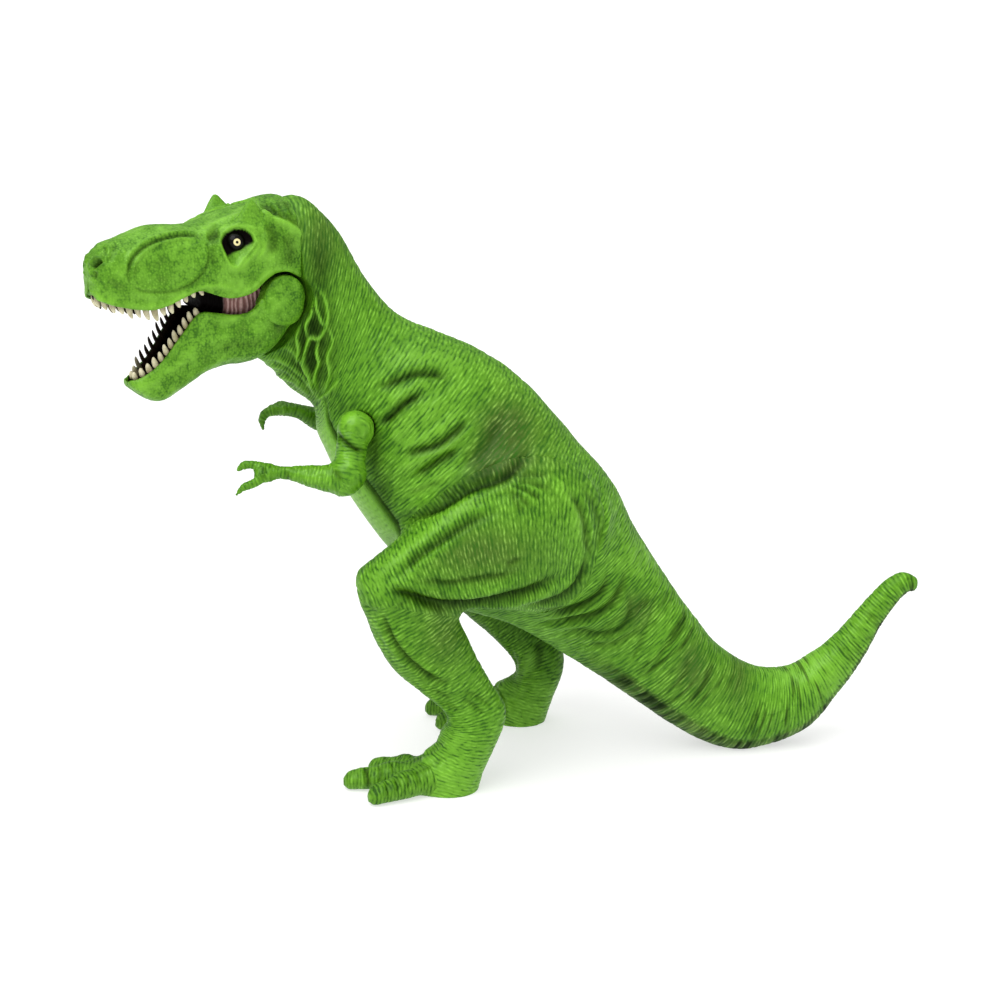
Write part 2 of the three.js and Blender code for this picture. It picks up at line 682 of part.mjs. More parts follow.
// Toes: base, two joints and tip, with height and width shares of a toe
const toeSizeShares = [[0.85, 0.66], [0.7, 0.6], [0.54, 0.52], [0.56, 0.54], [0.46, 0.46],
  [0.43, 0.41], [0.36, 0.33], [0.15, 0.13]];
const toeReachShares = [0, 0.24, 0.44, 0.58, 0.72, 0.84, 0.95, 1];
const toeBulgeShares = [0.85, 0.72, 0.56, 0.56, 0.46, 0.43, 0.36, 0.3];
const nearFoot = {
  heel: [-0.067, 0.455],
  toes: [[-0.1637, 0.235], [-0.195, 0.41], [-0.167, 0.65]],
};
const farFoot = {
  heel: [0.034, 0.53],
  toes: [[-0.0733, 0.395], [-0.0833, 0.655], [-0.045, 0.86]],
};

const hipShare = { along: 0.026, up: 0.46 };

function limbSection([x, y, z, tilt, halfDepth, halfWidth]) {
  return {
    centre: new THREE.Vector3(x, y, z),
    across: yAxis,
    rise: new THREE.Vector3(Math.cos(tilt * degrees), 0, Math.sin(tilt * degrees)),
    halfWidth,
    up: halfDepth,
    down: halfDepth,
  };
}

// The leg swings out from the hips to the feet, so the two spreads are mixed by height
function legRows(shares, side, depth, width) {
  return shares.map(([x, y, z, tilt, halfDepth, halfWidth]) => {
    const mix = Math.min(Math.max(z / hipShare.up, 0), 1);
    const spread = mix * hipSpread + (1 - mix) * footSpread;
    return [x * figureLength, side * y * spread, z * backHeight, tilt, halfDepth * depth, halfWidth * width];
  });
}

function toeSections(heel, tip, side) {
  const start = new THREE.Vector2(heel[0] * figureLength, side * heel[1] * footSpread);
  const end = new THREE.Vector2(tip[0] * figureLength, side * tip[1] * footSpread);
  const run = end.clone().sub(start);
  const across = new THREE.Vector3(-run.y, run.x, 0).normalize();
  const rows = toeReachShares.map((reach, i) => [reach, ...toeSizeShares[i], toeBulgeShares[i]]);
  return smoothRows(rows, 1).map(([reach, height, width, bulge]) => ({
    centre: new THREE.Vector3(start.x + reach * run.x, start.y + reach * run.y, bulge * toeHeight),
    across,
    rise: zAxis,
    halfWidth: width * toeWidth,
    up: height * toeHeight,
    down: height * toeHeight,
  }));
}

function legSections(side, thighShares, shinShares, foot) {
  return {
    thigh: withAxes(smoothRows(legRows(thighShares, side, thighDepth, thighWidth), 2).map(limbSection)),
    shin: withAxes(smoothRows(legRows(shinShares, side, shinDepth, shinWidth), 2).map(limbSection)),
    toes: foot.toes.map((tip) => withAxes(toeSections(foot.heel, tip, side))),
  };
}
const nearLeg = legSections(-1, nearThighShares, nearShinShares, nearFoot);
const farLeg = legSections(1, farThighShares, farShinShares, farFoot);
const trunkSections = withAxes(trunkSmooth.map(trunkSection));

function trunkLoft(rows, grown = 0) {
  const thighs = [nearLeg, farLeg].map(({ thigh }) => ({ body: thigh, reach: hipFillet }));
  return filletedLoft(rows.map(trunkSection), 24, thighs, grown);
}

const torsoGrown = trunkLoft(torsoRows, gap);
const tailGrown = trunkLoft([tailStart, ...tailRows.slice(1)], gap);

function hipPeg(side, grown) {
  const outer = 0.47 * hipSpread;
  const place = new THREE.Vector3(hipShare.along * figureLength, side * outer, hipShare.up * backHeight);
  const inward = yAxis.clone().multiplyScalar(-side);
  const sunk = outer - torsoWidth / 2 + hipPegLength;
  return cylinder(hipPegRadius + grown, 0, sunk + grown, place, inward);
}

function buildLeg(side, { thigh, shin, toes }, folds) {
  const bodies = [
    filletedLoft(thigh, 18, [{ body: trunkSections, reach: hipFillet }, { body: shin, reach: kneeFillet }]),
    filletedLoft(shin, 14, [{ body: thigh, reach: kneeFillet }, ...toes.map((body) => ({ body, reach: toeFillet }))]),
    ...toes.map((toe) => filletedLoft(toe, 10, [{ body: shin, reach: toeFillet }])),
  ];
  const whole = cut(join(bodies), [belowFloor, torsoGrown, tailGrown, ...folds]);
  return join([mainPiece(whole), hipPeg(side, 0)]);
}

// Deep folds: V-shaped cuts that follow the skin. Rows of place along and height, as shares of the
// figure's length and the back's height
const groinFold = [[-0.128, 0.476], [-0.097, 0.506], [-0.047, 0.55], [0, 0.571], [0.023, 0.601]];
const chestFolds = [
  [[-0.153, 0.642], [-0.137, 0.665], [-0.119, 0.683], [-0.102, 0.701]],
  [[-0.149, 0.713], [-0.126, 0.727], [-0.095, 0.735], [-0.065, 0.733]],
  [[-0.117, 0.599], [-0.093, 0.616], [-0.067, 0.633], [-0.046, 0.658]],
];
const thighFolds = [
  [[-0.132, 0.412], [-0.104, 0.448], [-0.06, 0.488], [-0.009, 0.525]],
  [[-0.124, 0.402], [-0.072, 0.403], [-0.026, 0.41], [0.016, 0.433]],
  [[-0.143, 0.39], [-0.099, 0.364], [-0.028, 0.356], [0.039, 0.386], [0.08, 0.402]],
];

// The outermost point of the skin on a side, at a place along and a height
function skinPoint(x, z, side, { thigh }) {
  const point = new THREE.Vector3(x, 0, z);
  const covered = (y) => {
    point.y = side * y;
    const [a, b] = [apart(trunkSections, point), apart(thigh, point)];
    return a < 0 || b < 0 || Math.sqrt(a) + Math.sqrt(b) < Math.sqrt(hipFillet);
  };
  let outer = footSpread;
  while (outer > 0 && !covered(outer)) outer -= 1;
  let [low, high] = [outer, outer + 1];
  for (let i = 0; i < 8; i += 1) {
    const y = (low + high) / 2;
    [low, high] = covered(y) ? [y, high] : [low, y];
  }
  return new THREE.Vector3(x, side * low, z);
}

function foldCut(path, side, leg, halfWidth, depth) {
  const points = path.map(([x, z]) => skinPoint(x * figureLength, z * backHeight, side, leg));
  return loft(points.map((centre, i) => {
    const run = points[Math.min(i + 1, points.length - 1)].clone().sub(points[Math.max(i - 1, 0)]).normalize();
    const ahead = skinPoint(centre.x + 1, centre.z, side, leg).sub(centre);
    const above = skinPoint(centre.x, centre.z + 1, side, leg).sub(centre);
    const rise = ahead.cross(above).normalize();
    if (rise.y * side < 0) rise.negate();
    const taper = i % (points.length - 1) ? 1 : foldTaper;
    return { centre, across: rise.clone().cross(run).normalize(), rise, halfWidth, up: foldRise, down: depth * taper };
  }), 4);
}

// Arms: rows of place forward, outward and up from the shoulder, half thickness, as shares of the arm
const leftArmShares = {
  upper: [[0.02, 0.02, 0.02, 0.5], [0.05, 0.095, -0.2, 0.52], [0.08, 0.15, -0.34, 0.5],
    [0.1, 0.16, -0.4, 0.38]],
  lower: [[0.06, 0.16, -0.36, 0.42], [0.19, 0.15, -0.38, 0.43], [0.375, 0.13, -0.348, 0.38],
    [0.56, 0.12, -0.32, 0.22], [0.7, 0.12, -0.312, 0.27], [0.78, 0.12, -0.315, 0.2]],
  fingers: [
    [[0.7, 0.1, -0.3, 0.17], [0.84, 0.08, -0.255, 0.15], [0.91, 0.07, -0.265, 0.13],
      [0.955, 0.07, -0.3, 0.05]],
    [[0.72, 0.14, -0.33, 0.17], [0.83, 0.16, -0.385, 0.15], [0.91, 0.165, -0.42, 0.13],
      [0.965, 0.165, -0.475, 0.05]],
  ],
};
const rightArmShares = {
  upper: [[0.02, 0.02, 0.02, 0.5], [0.0, 0.1, -0.18, 0.48], [0.03, 0.15, -0.31, 0.42],
    [0.05, 0.16, -0.35, 0.3]],
  lower: [[0.02, 0.15, -0.33, 0.34], [0.14, 0.13, -0.25, 0.42], [0.32, 0.09, -0.15, 0.38],
    [0.47, 0.06, -0.08, 0.27], [0.6, 0.06, -0.05, 0.26], [0.69, 0.06, -0.06, 0.2]],
  fingers: [
    [[0.6, 0.03, -0.05, 0.17], [0.72, 0.02, -0.07, 0.15], [0.78, 0.02, -0.13, 0.13],
      [0.78, 0.02, -0.22, 0.05]],
    [[0.6, 0.09, -0.06, 0.17], [0.74, 0.11, -0.09, 0.15], [0.79, 0.12, -0.16, 0.13],
      [0.78, 0.12, -0.24, 0.05]],
  ],
};
const shoulderShare = { along: -0.1717, up: 0.645 };

function shoulderCentre(side) {
  return new THREE.Vector3(shoulderShare.along * figureLength, side * shoulderSpread / 2,
    shoulderShare.up * backHeight);
}

// Ball and snap peg, turned about the axis that the arm swings on
function shoulderPeg(side, grown) {
  const inward = yAxis.clone().multiplyScalar(-side);
  const [radius, reach] = [shoulderPegRadius + grown, shoulderRadius + shoulderPegLength];
  const rim = radius + snapRim;
  return turned([
    [0, 0], [radius, 0], [radius, reach - 4 * snapRim - grown], [rim, reach - 3 * snapRim - grown],
    [rim, reach - snapRim], [rim - snapRim, reach + grown], [0, reach + grown],
  ], shoulderCentre(side), inward, 14);
}

function armTube(rows, side, sides) {
  const points = rows.map(([forward, outward, up]) => shoulderCentre(side)
    .add(new THREE.Vector3(-forward * armLength, side * outward * armLength, up * armLength)));
  const table = smoothRows(points.map((point, i) => [...point.toArray(), rows[i][3] * armWidth]), 2);
  const sections = table.map((row, i) => {
    const next = table[Math.min(i + 1, table.length - 1)];
    const last = table[Math.max(i - 1, 0)];
    const run = new THREE.Vector3(next[0] - last[0], next[1] - last[1], next[2] - last[2]).normalize();
    const rise = run.clone().cross(yAxis).normalize();
    return {
      centre: new THREE.Vector3(row[0], row[1], row[2]),
      across: rise.clone().cross(run).normalize(),
      rise,
      halfWidth: row[3],
      up: row[3],
      down: row[3],
    };
  });
  return loft(sections, sides);
}

function buildArm(side, shares) {
  return join([
    ball(shoulderCentre(side), shoulderRadius),
    shoulderPeg(side, 0),
    armTube(shares.upper, side, 8),
    armTube(shares.lower, side, 8),
    ...shares.fingers.map((finger) => armTube(finger, side, 6)),
  ]);
}

// Jaw
const jawOuter = headLoft(jawRows, 3.2, 18);
const jawTrough = headLoft(troughRows, 3, 16, 0, 1);
const lowerTeeth = toothRow(lowerPath, lowerToothShares, true);
const lowerJaw = mainPiece(cut(join([cut(jawOuter, [jawTrough]), ...hingeBosses(0)]), [
  pinBody(hingePinRadius + runningGap, pinHalf + gap),
  gumBar(lowerPath, gumGap),
  headLoft(insertRows, 4, 16, runningGap, 1),
]));

// Tongue on the floor of the jaw
const tongueShares = [
  [0.3, 0, 0.42, 0.5], [0.4, 0.3, 0.5, 1], [0.52, 0.3, 0.5, 1], [0.62, 0.2, 0.47, 0.95],
  [0.7, 0.1, 0.4, 0.8], [0.77, 0, 0.2, 0.45],
];
const tongue = loft(smoothRows(tongueShares, 2).map(([forward, lift, half, thick]) => {
  const place = forward * jawLength;
  return {
    centre: headPoint(0, place, along(troughRows, place, 2) + gap + (0.5 * thick + lift * 0.2) * tongueHeight),
    across: headLeft,
    rise: headUp,
    halfWidth: half * tongueWidth,
    up: 0.5 * thick * tongueHeight,
    down: 0.5 * thick * tongueHeight,
  };
}), 14);

// Head
const upperTeeth = toothRow(upperPath, upperToothShares, false);
const skull = join([headLoft(skullRows, 2.5, 24), horn(1), horn(-1)]);
const head = join([mainPiece(cut(skull, [
  headLoft(palateRows, 3.4, 16, 0, 1), ...arches, gumBar(upperPath, gumGap), insertGrown,
  eyeHollow(1), eyeHollow(-1), ball(eyeCentre(1), eyeRadius + gap), ball(eyeCentre(-1), eyeRadius + gap),
])), neckPeg(0)]);
const mouthInsert = cut(headLoft(insertRows, 4, 16, 0, 1), [pinBody(hingePinRadius + gap, headWidth)]);

// The neck keeps clear of the skull and of the jaw's swing
const trunkFolds = [[-1, nearLeg], [1, farLeg]].flatMap(([side, leg]) => [
  ...chestFolds.map((path) => foldCut(path, side, leg, foldHalfWidth, foldDepth)),
  foldCut(groinFold, side, leg, groinHalfWidth, groinDepth),
]);
const torso = mainPiece(cut(trunkLoft(torsoRows), [
  ...trunkFolds,
  throatPrism(), cylinder(hingeBossRadius + 2 * runningGap, -headWidth, 2 * headWidth, hinge, headLeft, 24),
  neckPeg(gap),
  hipPeg(-1, gap), hipPeg(1, gap),
  ...[-1, 1].flatMap((side) => [
    ball(shoulderCentre(side), shoulderRadius + runningGap), shoulderPeg(side, runningGap),
  ]),
  cylinder(tailPegRadius + gap, -tailPegLength - gap, tailPegLength + 2 * gap, seam.centre, seamAxis, 20),
]));
const tail = join([
  cut(trunkLoft([tailStart, ...tailRows.slice(1)]), [belowFloor]),
  cylinder(tailPegRadius, -tailPegLength, tailPegLength + tailPegRadius, seam.centre, seamAxis, 20),
]);

addPart('torso', torso, skin);
addPart('tail', tail, skin);
addPart('head', head, skin);
addPart('lower_jaw', lowerJaw, skin);
addPart('jaw_hinge_pin', pinBody(hingePinRadius, pinHalf), pinFinish);
addPart('mouth_insert', mouthInsert, mouthFinish);
addPart('tongue', tongue, mouthFinish);
addPart('upper_teeth', upperTeeth, toothFinish);
addPart('lower_teeth', lowerTeeth, toothFinish);
addPart('left_eye', ball(eyeCentre(1), eyeRadius), eyeFinish);
addPart('right_eye', ball(eyeCentre(-1), eyeRadius), eyeFinish);
addPart('left_arm', buildArm(-1, leftArmShares), limbSkin);
addPart('right_arm', buildArm(1, rightArmShares), limbSkin);
const nearFolds = [
  ...thighFolds.map((path) => foldCut(path, -1, nearLeg, foldHalfWidth, foldDepth)),
  foldCut(groinFold, -1, nearLeg, groinHalfWidth, groinDepth),
];
addPart('left_leg', buildLeg(-1, nearLeg, nearFolds), limbSkin);
addPart('right_leg', buildLeg(1, farLeg, []), limbSkin);

// The origin is the middle of the footprint, on the floor
const reach = new THREE.Box3().setFromObject(figure);
const middle = reach.getCenter(new THREE.Vector3());
figure.position.set(-middle.x, -middle.y, -reach.min.z);
figure.updateMatrixWorld(true);

export default figure;
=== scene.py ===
import json
import math

import bpy
import numpy as np
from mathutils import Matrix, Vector


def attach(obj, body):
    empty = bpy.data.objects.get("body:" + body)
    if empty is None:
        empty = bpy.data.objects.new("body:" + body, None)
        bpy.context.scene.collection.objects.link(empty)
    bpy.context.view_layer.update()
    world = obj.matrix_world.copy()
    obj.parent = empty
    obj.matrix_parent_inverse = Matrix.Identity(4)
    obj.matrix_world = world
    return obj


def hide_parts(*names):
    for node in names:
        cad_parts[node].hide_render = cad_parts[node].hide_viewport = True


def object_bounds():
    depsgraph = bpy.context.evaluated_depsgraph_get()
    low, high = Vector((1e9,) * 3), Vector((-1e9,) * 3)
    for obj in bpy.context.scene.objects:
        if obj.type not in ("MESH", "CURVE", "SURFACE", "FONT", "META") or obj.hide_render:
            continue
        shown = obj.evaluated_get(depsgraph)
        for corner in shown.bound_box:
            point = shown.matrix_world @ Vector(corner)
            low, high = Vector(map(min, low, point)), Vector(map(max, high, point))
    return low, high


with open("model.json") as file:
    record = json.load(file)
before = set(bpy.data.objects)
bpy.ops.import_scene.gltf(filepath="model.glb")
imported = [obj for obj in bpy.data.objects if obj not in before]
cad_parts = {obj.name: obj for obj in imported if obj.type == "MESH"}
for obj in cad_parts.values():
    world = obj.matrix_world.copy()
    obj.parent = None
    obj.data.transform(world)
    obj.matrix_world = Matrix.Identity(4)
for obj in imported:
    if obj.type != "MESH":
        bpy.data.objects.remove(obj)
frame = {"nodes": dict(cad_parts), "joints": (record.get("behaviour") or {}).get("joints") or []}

# Toy dinosaur figure in soft vinyl, built over the CAD frame.
# It faces -X, its left side is -Y and the floor is z = 0.
# Shapes are worked out in millimetres about the middle of the body, then moved onto the frame.

cadLow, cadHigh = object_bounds()

figure = dict(
    length=300, height=200,
    neckDepth=58, neckWidth=36, torsoDepth=76, torsoWidth=58, tailDepth=47, tailWidth=38,
    headLength=73, headWidth=37, headHeight=33, jawLength=55, jawWidth=34, jawHeight=31,
    footSpread=66, hipSpread=62.06, shoulderSpread=48.14,
    armLength=42, armWidth=10, shoulderRadius=6.2,
    toeHeight=8.6, toeWidth=9.6,
)
camera = dict(azimuth=-6, elevation=14, distance=650, target=(0, 0, 97), lens=65.2, sensor=36, picture=1000)

hinge = np.array([-0.2736 * figure["length"], -0.05 * figure["torsoWidth"], 0.8663 * figure["height"]])
jawJoint = next(j for j in frame["joints"] if j["name"] == "jaw_hinge")
onFrame = 1000 * np.array(jawJoint["pos_m"]) - hinge  # from the drawing's origin to the frame's
boxLow, boxHigh = (1000 * np.array(corner) - onFrame for corner in (cadLow, cadHigh))


def unit(v):
    return v / np.maximum(np.linalg.norm(v, axis=-1, keepdims=True), 1e-9)


# Head axes: turned to the figure's left about Z, then dipped a little
headPose = dict(turn=28, dip=2)  # degrees
headTurn, headDip = math.radians(headPose["turn"]), math.radians(headPose["dip"])
headForward = np.array([-math.cos(headTurn), -math.sin(headTurn), 0]) * math.cos(headDip)
headForward[2] = -math.sin(headDip)
headLeft = np.array([math.sin(headTurn), -math.cos(headTurn), 0])
headUp = np.cross(headLeft, headForward)
headUp = headUp if headUp[2] > 0 else -headUp


def headPoints(left, forward, up):
    # hinge + left, forward and up times the head's axes
    outer = np.multiply.outer
    return hinge + outer(left, headLeft) + outer(forward, headForward) + outer(up, headUp)


def inHead(points):
    d = points - hinge
    return d @ headLeft, d @ headForward, d @ headUp


# The photo's camera
azimuth, elevation = math.radians(camera["azimuth"]), math.radians(camera["elevation"])
backward = np.array([math.sin(azimuth), -math.cos(azimuth), 0]) * math.cos(elevation)
backward[2] = math.sin(elevation)
eyePoint = np.array(camera["target"]) + camera["distance"] * backward
viewRight = unit(np.cross(-backward, [0, 0, 1]))
viewUp = np.cross(viewRight, -backward)
focal = camera["picture"] * camera["lens"] / camera["sensor"]


def toPicture(points):
    # right and up over depth, times the focal length, in pixels from the picture's middle
    d = points - eyePoint
    depth = d @ -backward
    half = camera["picture"] / 2
    return np.stack([half + focal * (d @ viewRight) / depth, half - focal * (d @ viewUp) / depth], axis=-1)


def facing(points, normals):
    # 0 where the skin turns away from the photo's camera, 1 where it faces it
    toEye = unit(eyePoint - points)
    return np.clip((np.sum(toEye * normals, axis=-1) - 0.02) / 0.25, 0, 1)


# Curves and lofts


def column(values):
    return values[:, None]


def curveThrough(rows, places):
    # Catmull-Rom curve through every column of the rows; a place is a row number with its fraction
    rows = np.asarray(rows, float)
    last = len(rows) - 1
    start = np.clip(np.floor(places).astype(int), 0, last - 1)
    t = column(places - start)
    a, b, c, d = (rows[np.clip(start + step, 0, last)] for step in (-1, 0, 1, 2))
    return b + 0.5 * t * (c - a + t * (2 * a - 5 * b + 4 * c - d + t * (3 * (b - c) + d - a)))


def runAlong(points):
    # length of the polyline up to each of its points
    return np.concatenate([[0], np.cumsum(np.linalg.norm(np.diff(points, axis=0), axis=1))])


def evenPlaces(rows, count, columns, first=0, last=None, perRow=60):
    # row numbers with fractions that are evenly spaced along the curve
    last = len(rows) - 1 if last is None else last
    dense = np.linspace(first, last, perRow * len(rows))
    run = runAlong(curveThrough(rows, dense)[:, columns])
    return np.interp(np.linspace(0, run[-1], count), run, dense)


def readRows(rows, forward, wanted, count=300):
    # a column of a curve through the rows, at places forward, which is its first column
    line = curveThrough(rows, np.linspace(0, len(rows) - 1, count))
    return np.interp(forward, line[:, 0], line[:, wanted])


def superellipse(angle, power):
    # cosine and sine, drawn out until |c|^power + |h|^power = 1
    c, h = np.cos(angle), np.sin(angle)
    size = (np.abs(c) ** power + np.abs(h) ** power) ** (-1 / power)
    return c * size, h * size


def loftOf(centre, across, rise, halfWidth, up, down, corner=2.0, egg=0.0):
    # sections along a path; across and rise are one direction for all of them or one for each
    across, rise = (np.broadcast_to(v, centre.shape) for v in (across, rise))
    axis = unit(np.cross(across, rise))
    axis = axis * np.sign(np.sum(axis * np.gradient(centre, axis=0), axis=-1, keepdims=True) + 1e-12)
    return dict(centre=centre, across=across, rise=rise, halfWidth=halfWidth, up=up, down=down,
                corner=corner, egg=egg, axis=axis, along=runAlong(centre))


def skinOf(loft, sides):
    # centre + across * halfWidth * (1 + egg * h) * c + rise * reach * h, where (c, h) goes round the
    # section's superellipse from its lowest point
    angle = 2 * np.pi * np.arange(sides) / sides - np.pi / 2
    c, h = superellipse(angle, loft["corner"])
    x = column(loft["halfWidth"]) * (1 + loft["egg"] * h) * c
    y = h * np.where(h > 0, column(loft["up"]), column(loft["down"]))
    centre, across, rise = (column(loft[key]) for key in ("centre", "across", "rise"))
    points = centre + x[..., None] * across + y[..., None] * rise
    flow = np.stack([x, y, np.broadcast_to(column(loft["along"]), x.shape)], axis=-1)
    return dict(points=points, flow=flow, angle=angle)


def normalsOf(points):
    # cross product of the steps along and around, turned outwards from each ring's middle
    along = np.gradient(points, axis=0)
    around = np.roll(points, -1, axis=1) - np.roll(points, 1, axis=1)
    n = unit(np.cross(along, around))
    outward = points - points.mean(axis=1, keepdims=True)
    side = np.sign(np.sum(n * outward, axis=(1, 2)))[:, None, None]
    return n * np.where(side == 0, 1, side)


def distanceTo(loft, points):
    # In the ring's plane that holds the point: its distance from the centre, less the section's
    # reach in that direction. Past an end: the distance to the end's ring.
    shape = points.shape[:-1]
    p = points.reshape(-1, 3)
    centre, axis = loft["centre"], loft["axis"]
    past = p @ axis.T - np.sum(centre * axis, axis=1)
    apart = np.sum(p * p, axis=1)[:, None] - 2 * p @ centre.T + np.sum(centre * centre, axis=1)
    crossed = past[:, :-1] * past[:, 1:] <= 0
    cost = np.where(crossed, apart[:, :-1] + apart[:, 1:], 1e12)
    index = np.argmin(cost, axis=1)
    rows = np.arange(len(p))
    inside = cost[rows, index] < 1e12
    nearEnd = np.where(apart[:, 0] < apart[:, -1], 0, len(centre) - 2)
    index = np.where(inside, index, nearEnd)
    g, h = past[rows, index], past[rows, index + 1]
    t = np.clip(np.where(inside, g / np.where(np.abs(g - h) < 1e-9, 1, g - h), nearEnd > 0), 0, 1)

    def at(values):
        tt = t if values.ndim == 1 else t[:, None]
        return values[index] * (1 - tt) + values[index + 1] * tt

    q = p - at(centre)
    x, y = np.sum(q * at(loft["across"]), axis=1), np.sum(q * at(loft["rise"]), axis=1)
    v = y / np.where(y > 0, at(loft["up"]), at(loft["down"]))
    u = x / (at(loft["halfWidth"]) * (1 + loft["egg"] * np.clip(v, -1, 1)))
    n = loft["corner"]
    size = np.maximum((np.abs(u) ** n + np.abs(v) ** n) ** (1 / n), 1e-3)
    flat = np.hypot(x, y)
    d = flat - flat / size
    beyond = np.where(inside, 0, np.minimum(np.abs(g), np.abs(h)))
    return np.where(beyond > 0, np.hypot(np.maximum(d, 0), beyond), d).reshape(shape)


# How a fillet is made: step in mm that measures the other body's slope, rounds of halving; where the
# skin lies past the fillet's middle, the share of that it keeps, the overlap in mm at which it
# starts to dive, how fast, and the deepest in mm
filleting = dict(step=0.5, rounds=14, kept=0.35, overlap=0.9, dive=1.5, deepest=-3)


def fillet(points, other, reach, mask=None, overlap=filleting["overlap"]):
    # A point goes out along its normal by t until root(t) + root(b) = root(reach), where b is its
    # distance from the other body. Past the middle of the fillet it dives under the other skin.
    n = normalsOf(points)
    low, high = other["centre"].min(axis=0), other["centre"].max(axis=0)
    size = max(other["up"].max(), other["halfWidth"].max()) + 2 * reach
    near = np.all((points > low - size) & (points < high + size), axis=-1)
    p, normal = points[near], n[near]
    if not len(p):
        return points
    b = distanceTo(other, p)
    slope = (distanceTo(other, p + filleting["step"] * normal) - b) / filleting["step"]
    middle = reach / 4
    short = middle - (b + slope * middle)
    low, high = np.zeros(len(p)), np.full(len(p), middle)
    for _ in range(filleting["rounds"]):
        t = (low + high) / 2
        over = np.sqrt(t) + np.sqrt(np.maximum(b + slope * t, 0)) > math.sqrt(reach)
        low, high = np.where(over, low, t), np.where(over, t, high)
    t = np.where(b >= reach, 0, t)
    held = middle + filleting["kept"] * np.minimum(short, overlap)
    held = held - filleting["dive"] * np.maximum(short - overlap, 0)
    t = np.where(short > 0, np.maximum(held, filleting["deepest"]), t)
    if mask is not None:
        t = t * np.broadcast_to(mask, near.shape)[near]
    result = points.copy()
    result[near] = p + column(t) * normal
    return result


# Noise and skin relief


def latticeNoise(p, seed):
    # random values at whole places, blended smoothly in between, from -1 to 1
    cell = np.floor(p).astype(np.int64)
    t = p - cell
    t = t * t * (3 - 2 * t)
    total = np.zeros(p.shape[:-1])
    for corner in np.ndindex(2, 2, 2):
        x, y, z = (cell[..., i] + corner[i] for i in range(3))
        mixed = (x * 73856093 ^ y * 19349663 ^ z * 83492791 ^ (seed + 11) * 49979687) & 0x7FFFFFFF
        mixed = ((mixed ^ (mixed >> 13)) * 1274126177) & 0x7FFFFFFF
        value = ((mixed ^ (mixed >> 16)) & 0xFFFF) / 65535
        weight = np.prod([np.where(corner[i], t[..., i], 1 - t[..., i]) for i in range(3)], axis=0)
        total += value * weight
    return 2 * total - 1


# Wrinkles of the limbs: their size round and along the limb and their depth in mm, the waves that
# carry them, how sharp their grooves are, and how much finer the second layer is
wrinkles = dict(around=4.2, along=1.3, depth=0.15, wave=14, waveSize=2.2, sharp=3.2, finer=[1.7, 1.7, 1.9])


def wrinkleRelief(flow, place, scale=1.0):
    # long cells round the limb, parted by narrow grooves where the stretched noise is near zero
    wave = latticeNoise(place / wrinkles["wave"], 3) * wrinkles["waveSize"]
    cell = np.array([wrinkles["around"], wrinkles["around"], wrinkles["along"]]) * scale
    stretched = (flow + wave[..., None] * [0, 0, 1]) / cell
    groove = np.clip(np.abs(latticeNoise(stretched, 5)) * wrinkles["sharp"], 0, 1)
    return 1.4 * groove - 1 + 0.3 * latticeNoise(stretched * wrinkles["finer"], 6)


# A drawn line's groove: height of the swell beside it, how far off that lies and how wide it is, in
# line widths, and the share and tightness of the two bells that make its shadow
lineShape = dict(swell=(0.38, 2.1, 1.1), shadow=((0.66, 0.95), (0.34, 0.36)), pixelsPerMm=2.9, perPoint=14)


def bell(d):
    return np.exp(-d ** 2)


def lineRelief(pixels, lines):
    # Each line is a groove: minus its depth times a bell of the distance from it, with a softer
    # swell and a soft painted shadow beside it. A depth below zero makes a ridge, which gets a painted
    # highlight and takes less painted shade.
    height, dark, light = (np.zeros(pixels.shape[:-1]) for _ in range(3))
    for points, width, depth, shade in lines:
        path = curveThrough(points, np.linspace(0, len(points) - 1, lineShape["perPoint"] * len(points)))
        size = width * lineShape["pixelsPerMm"]
        low, high = path.min(axis=0) - 5 * size, path.max(axis=0) + 5 * size
        near = np.all((pixels > low) & (pixels < high), axis=-1)
        if not near.any():
            continue
        gaps = np.linalg.norm(column(pixels[near]) - path[None], axis=-1)
        index = gaps.argmin(axis=1)
        d = gaps[np.arange(len(gaps)), index] / size
        reach = index / (len(path) - 1)
        taper = np.clip(4 * np.minimum(reach, 1 - reach) + 0.15, 0, 1)
        if depth < 0:
            height[near] -= taper * depth * bell(d)
            light[near] = np.maximum(light[near], taper * shade * bell(d))
        else:
            swell, away, spread = lineShape["swell"]
            height[near] += taper * depth * (swell * bell((d - away) / spread) - bell(d))
            shadow = sum(share * bell(tightness * d) for share, tightness in lineShape["shadow"])
            dark[near] = np.maximum(dark[near], taper * shade * shadow)
    return height, dark, light


def mirrored(values):
    # the same values with left and right changed over: ring place j becomes -j
    return np.roll(values[:, ::-1], 1, axis=1)


# Meshes


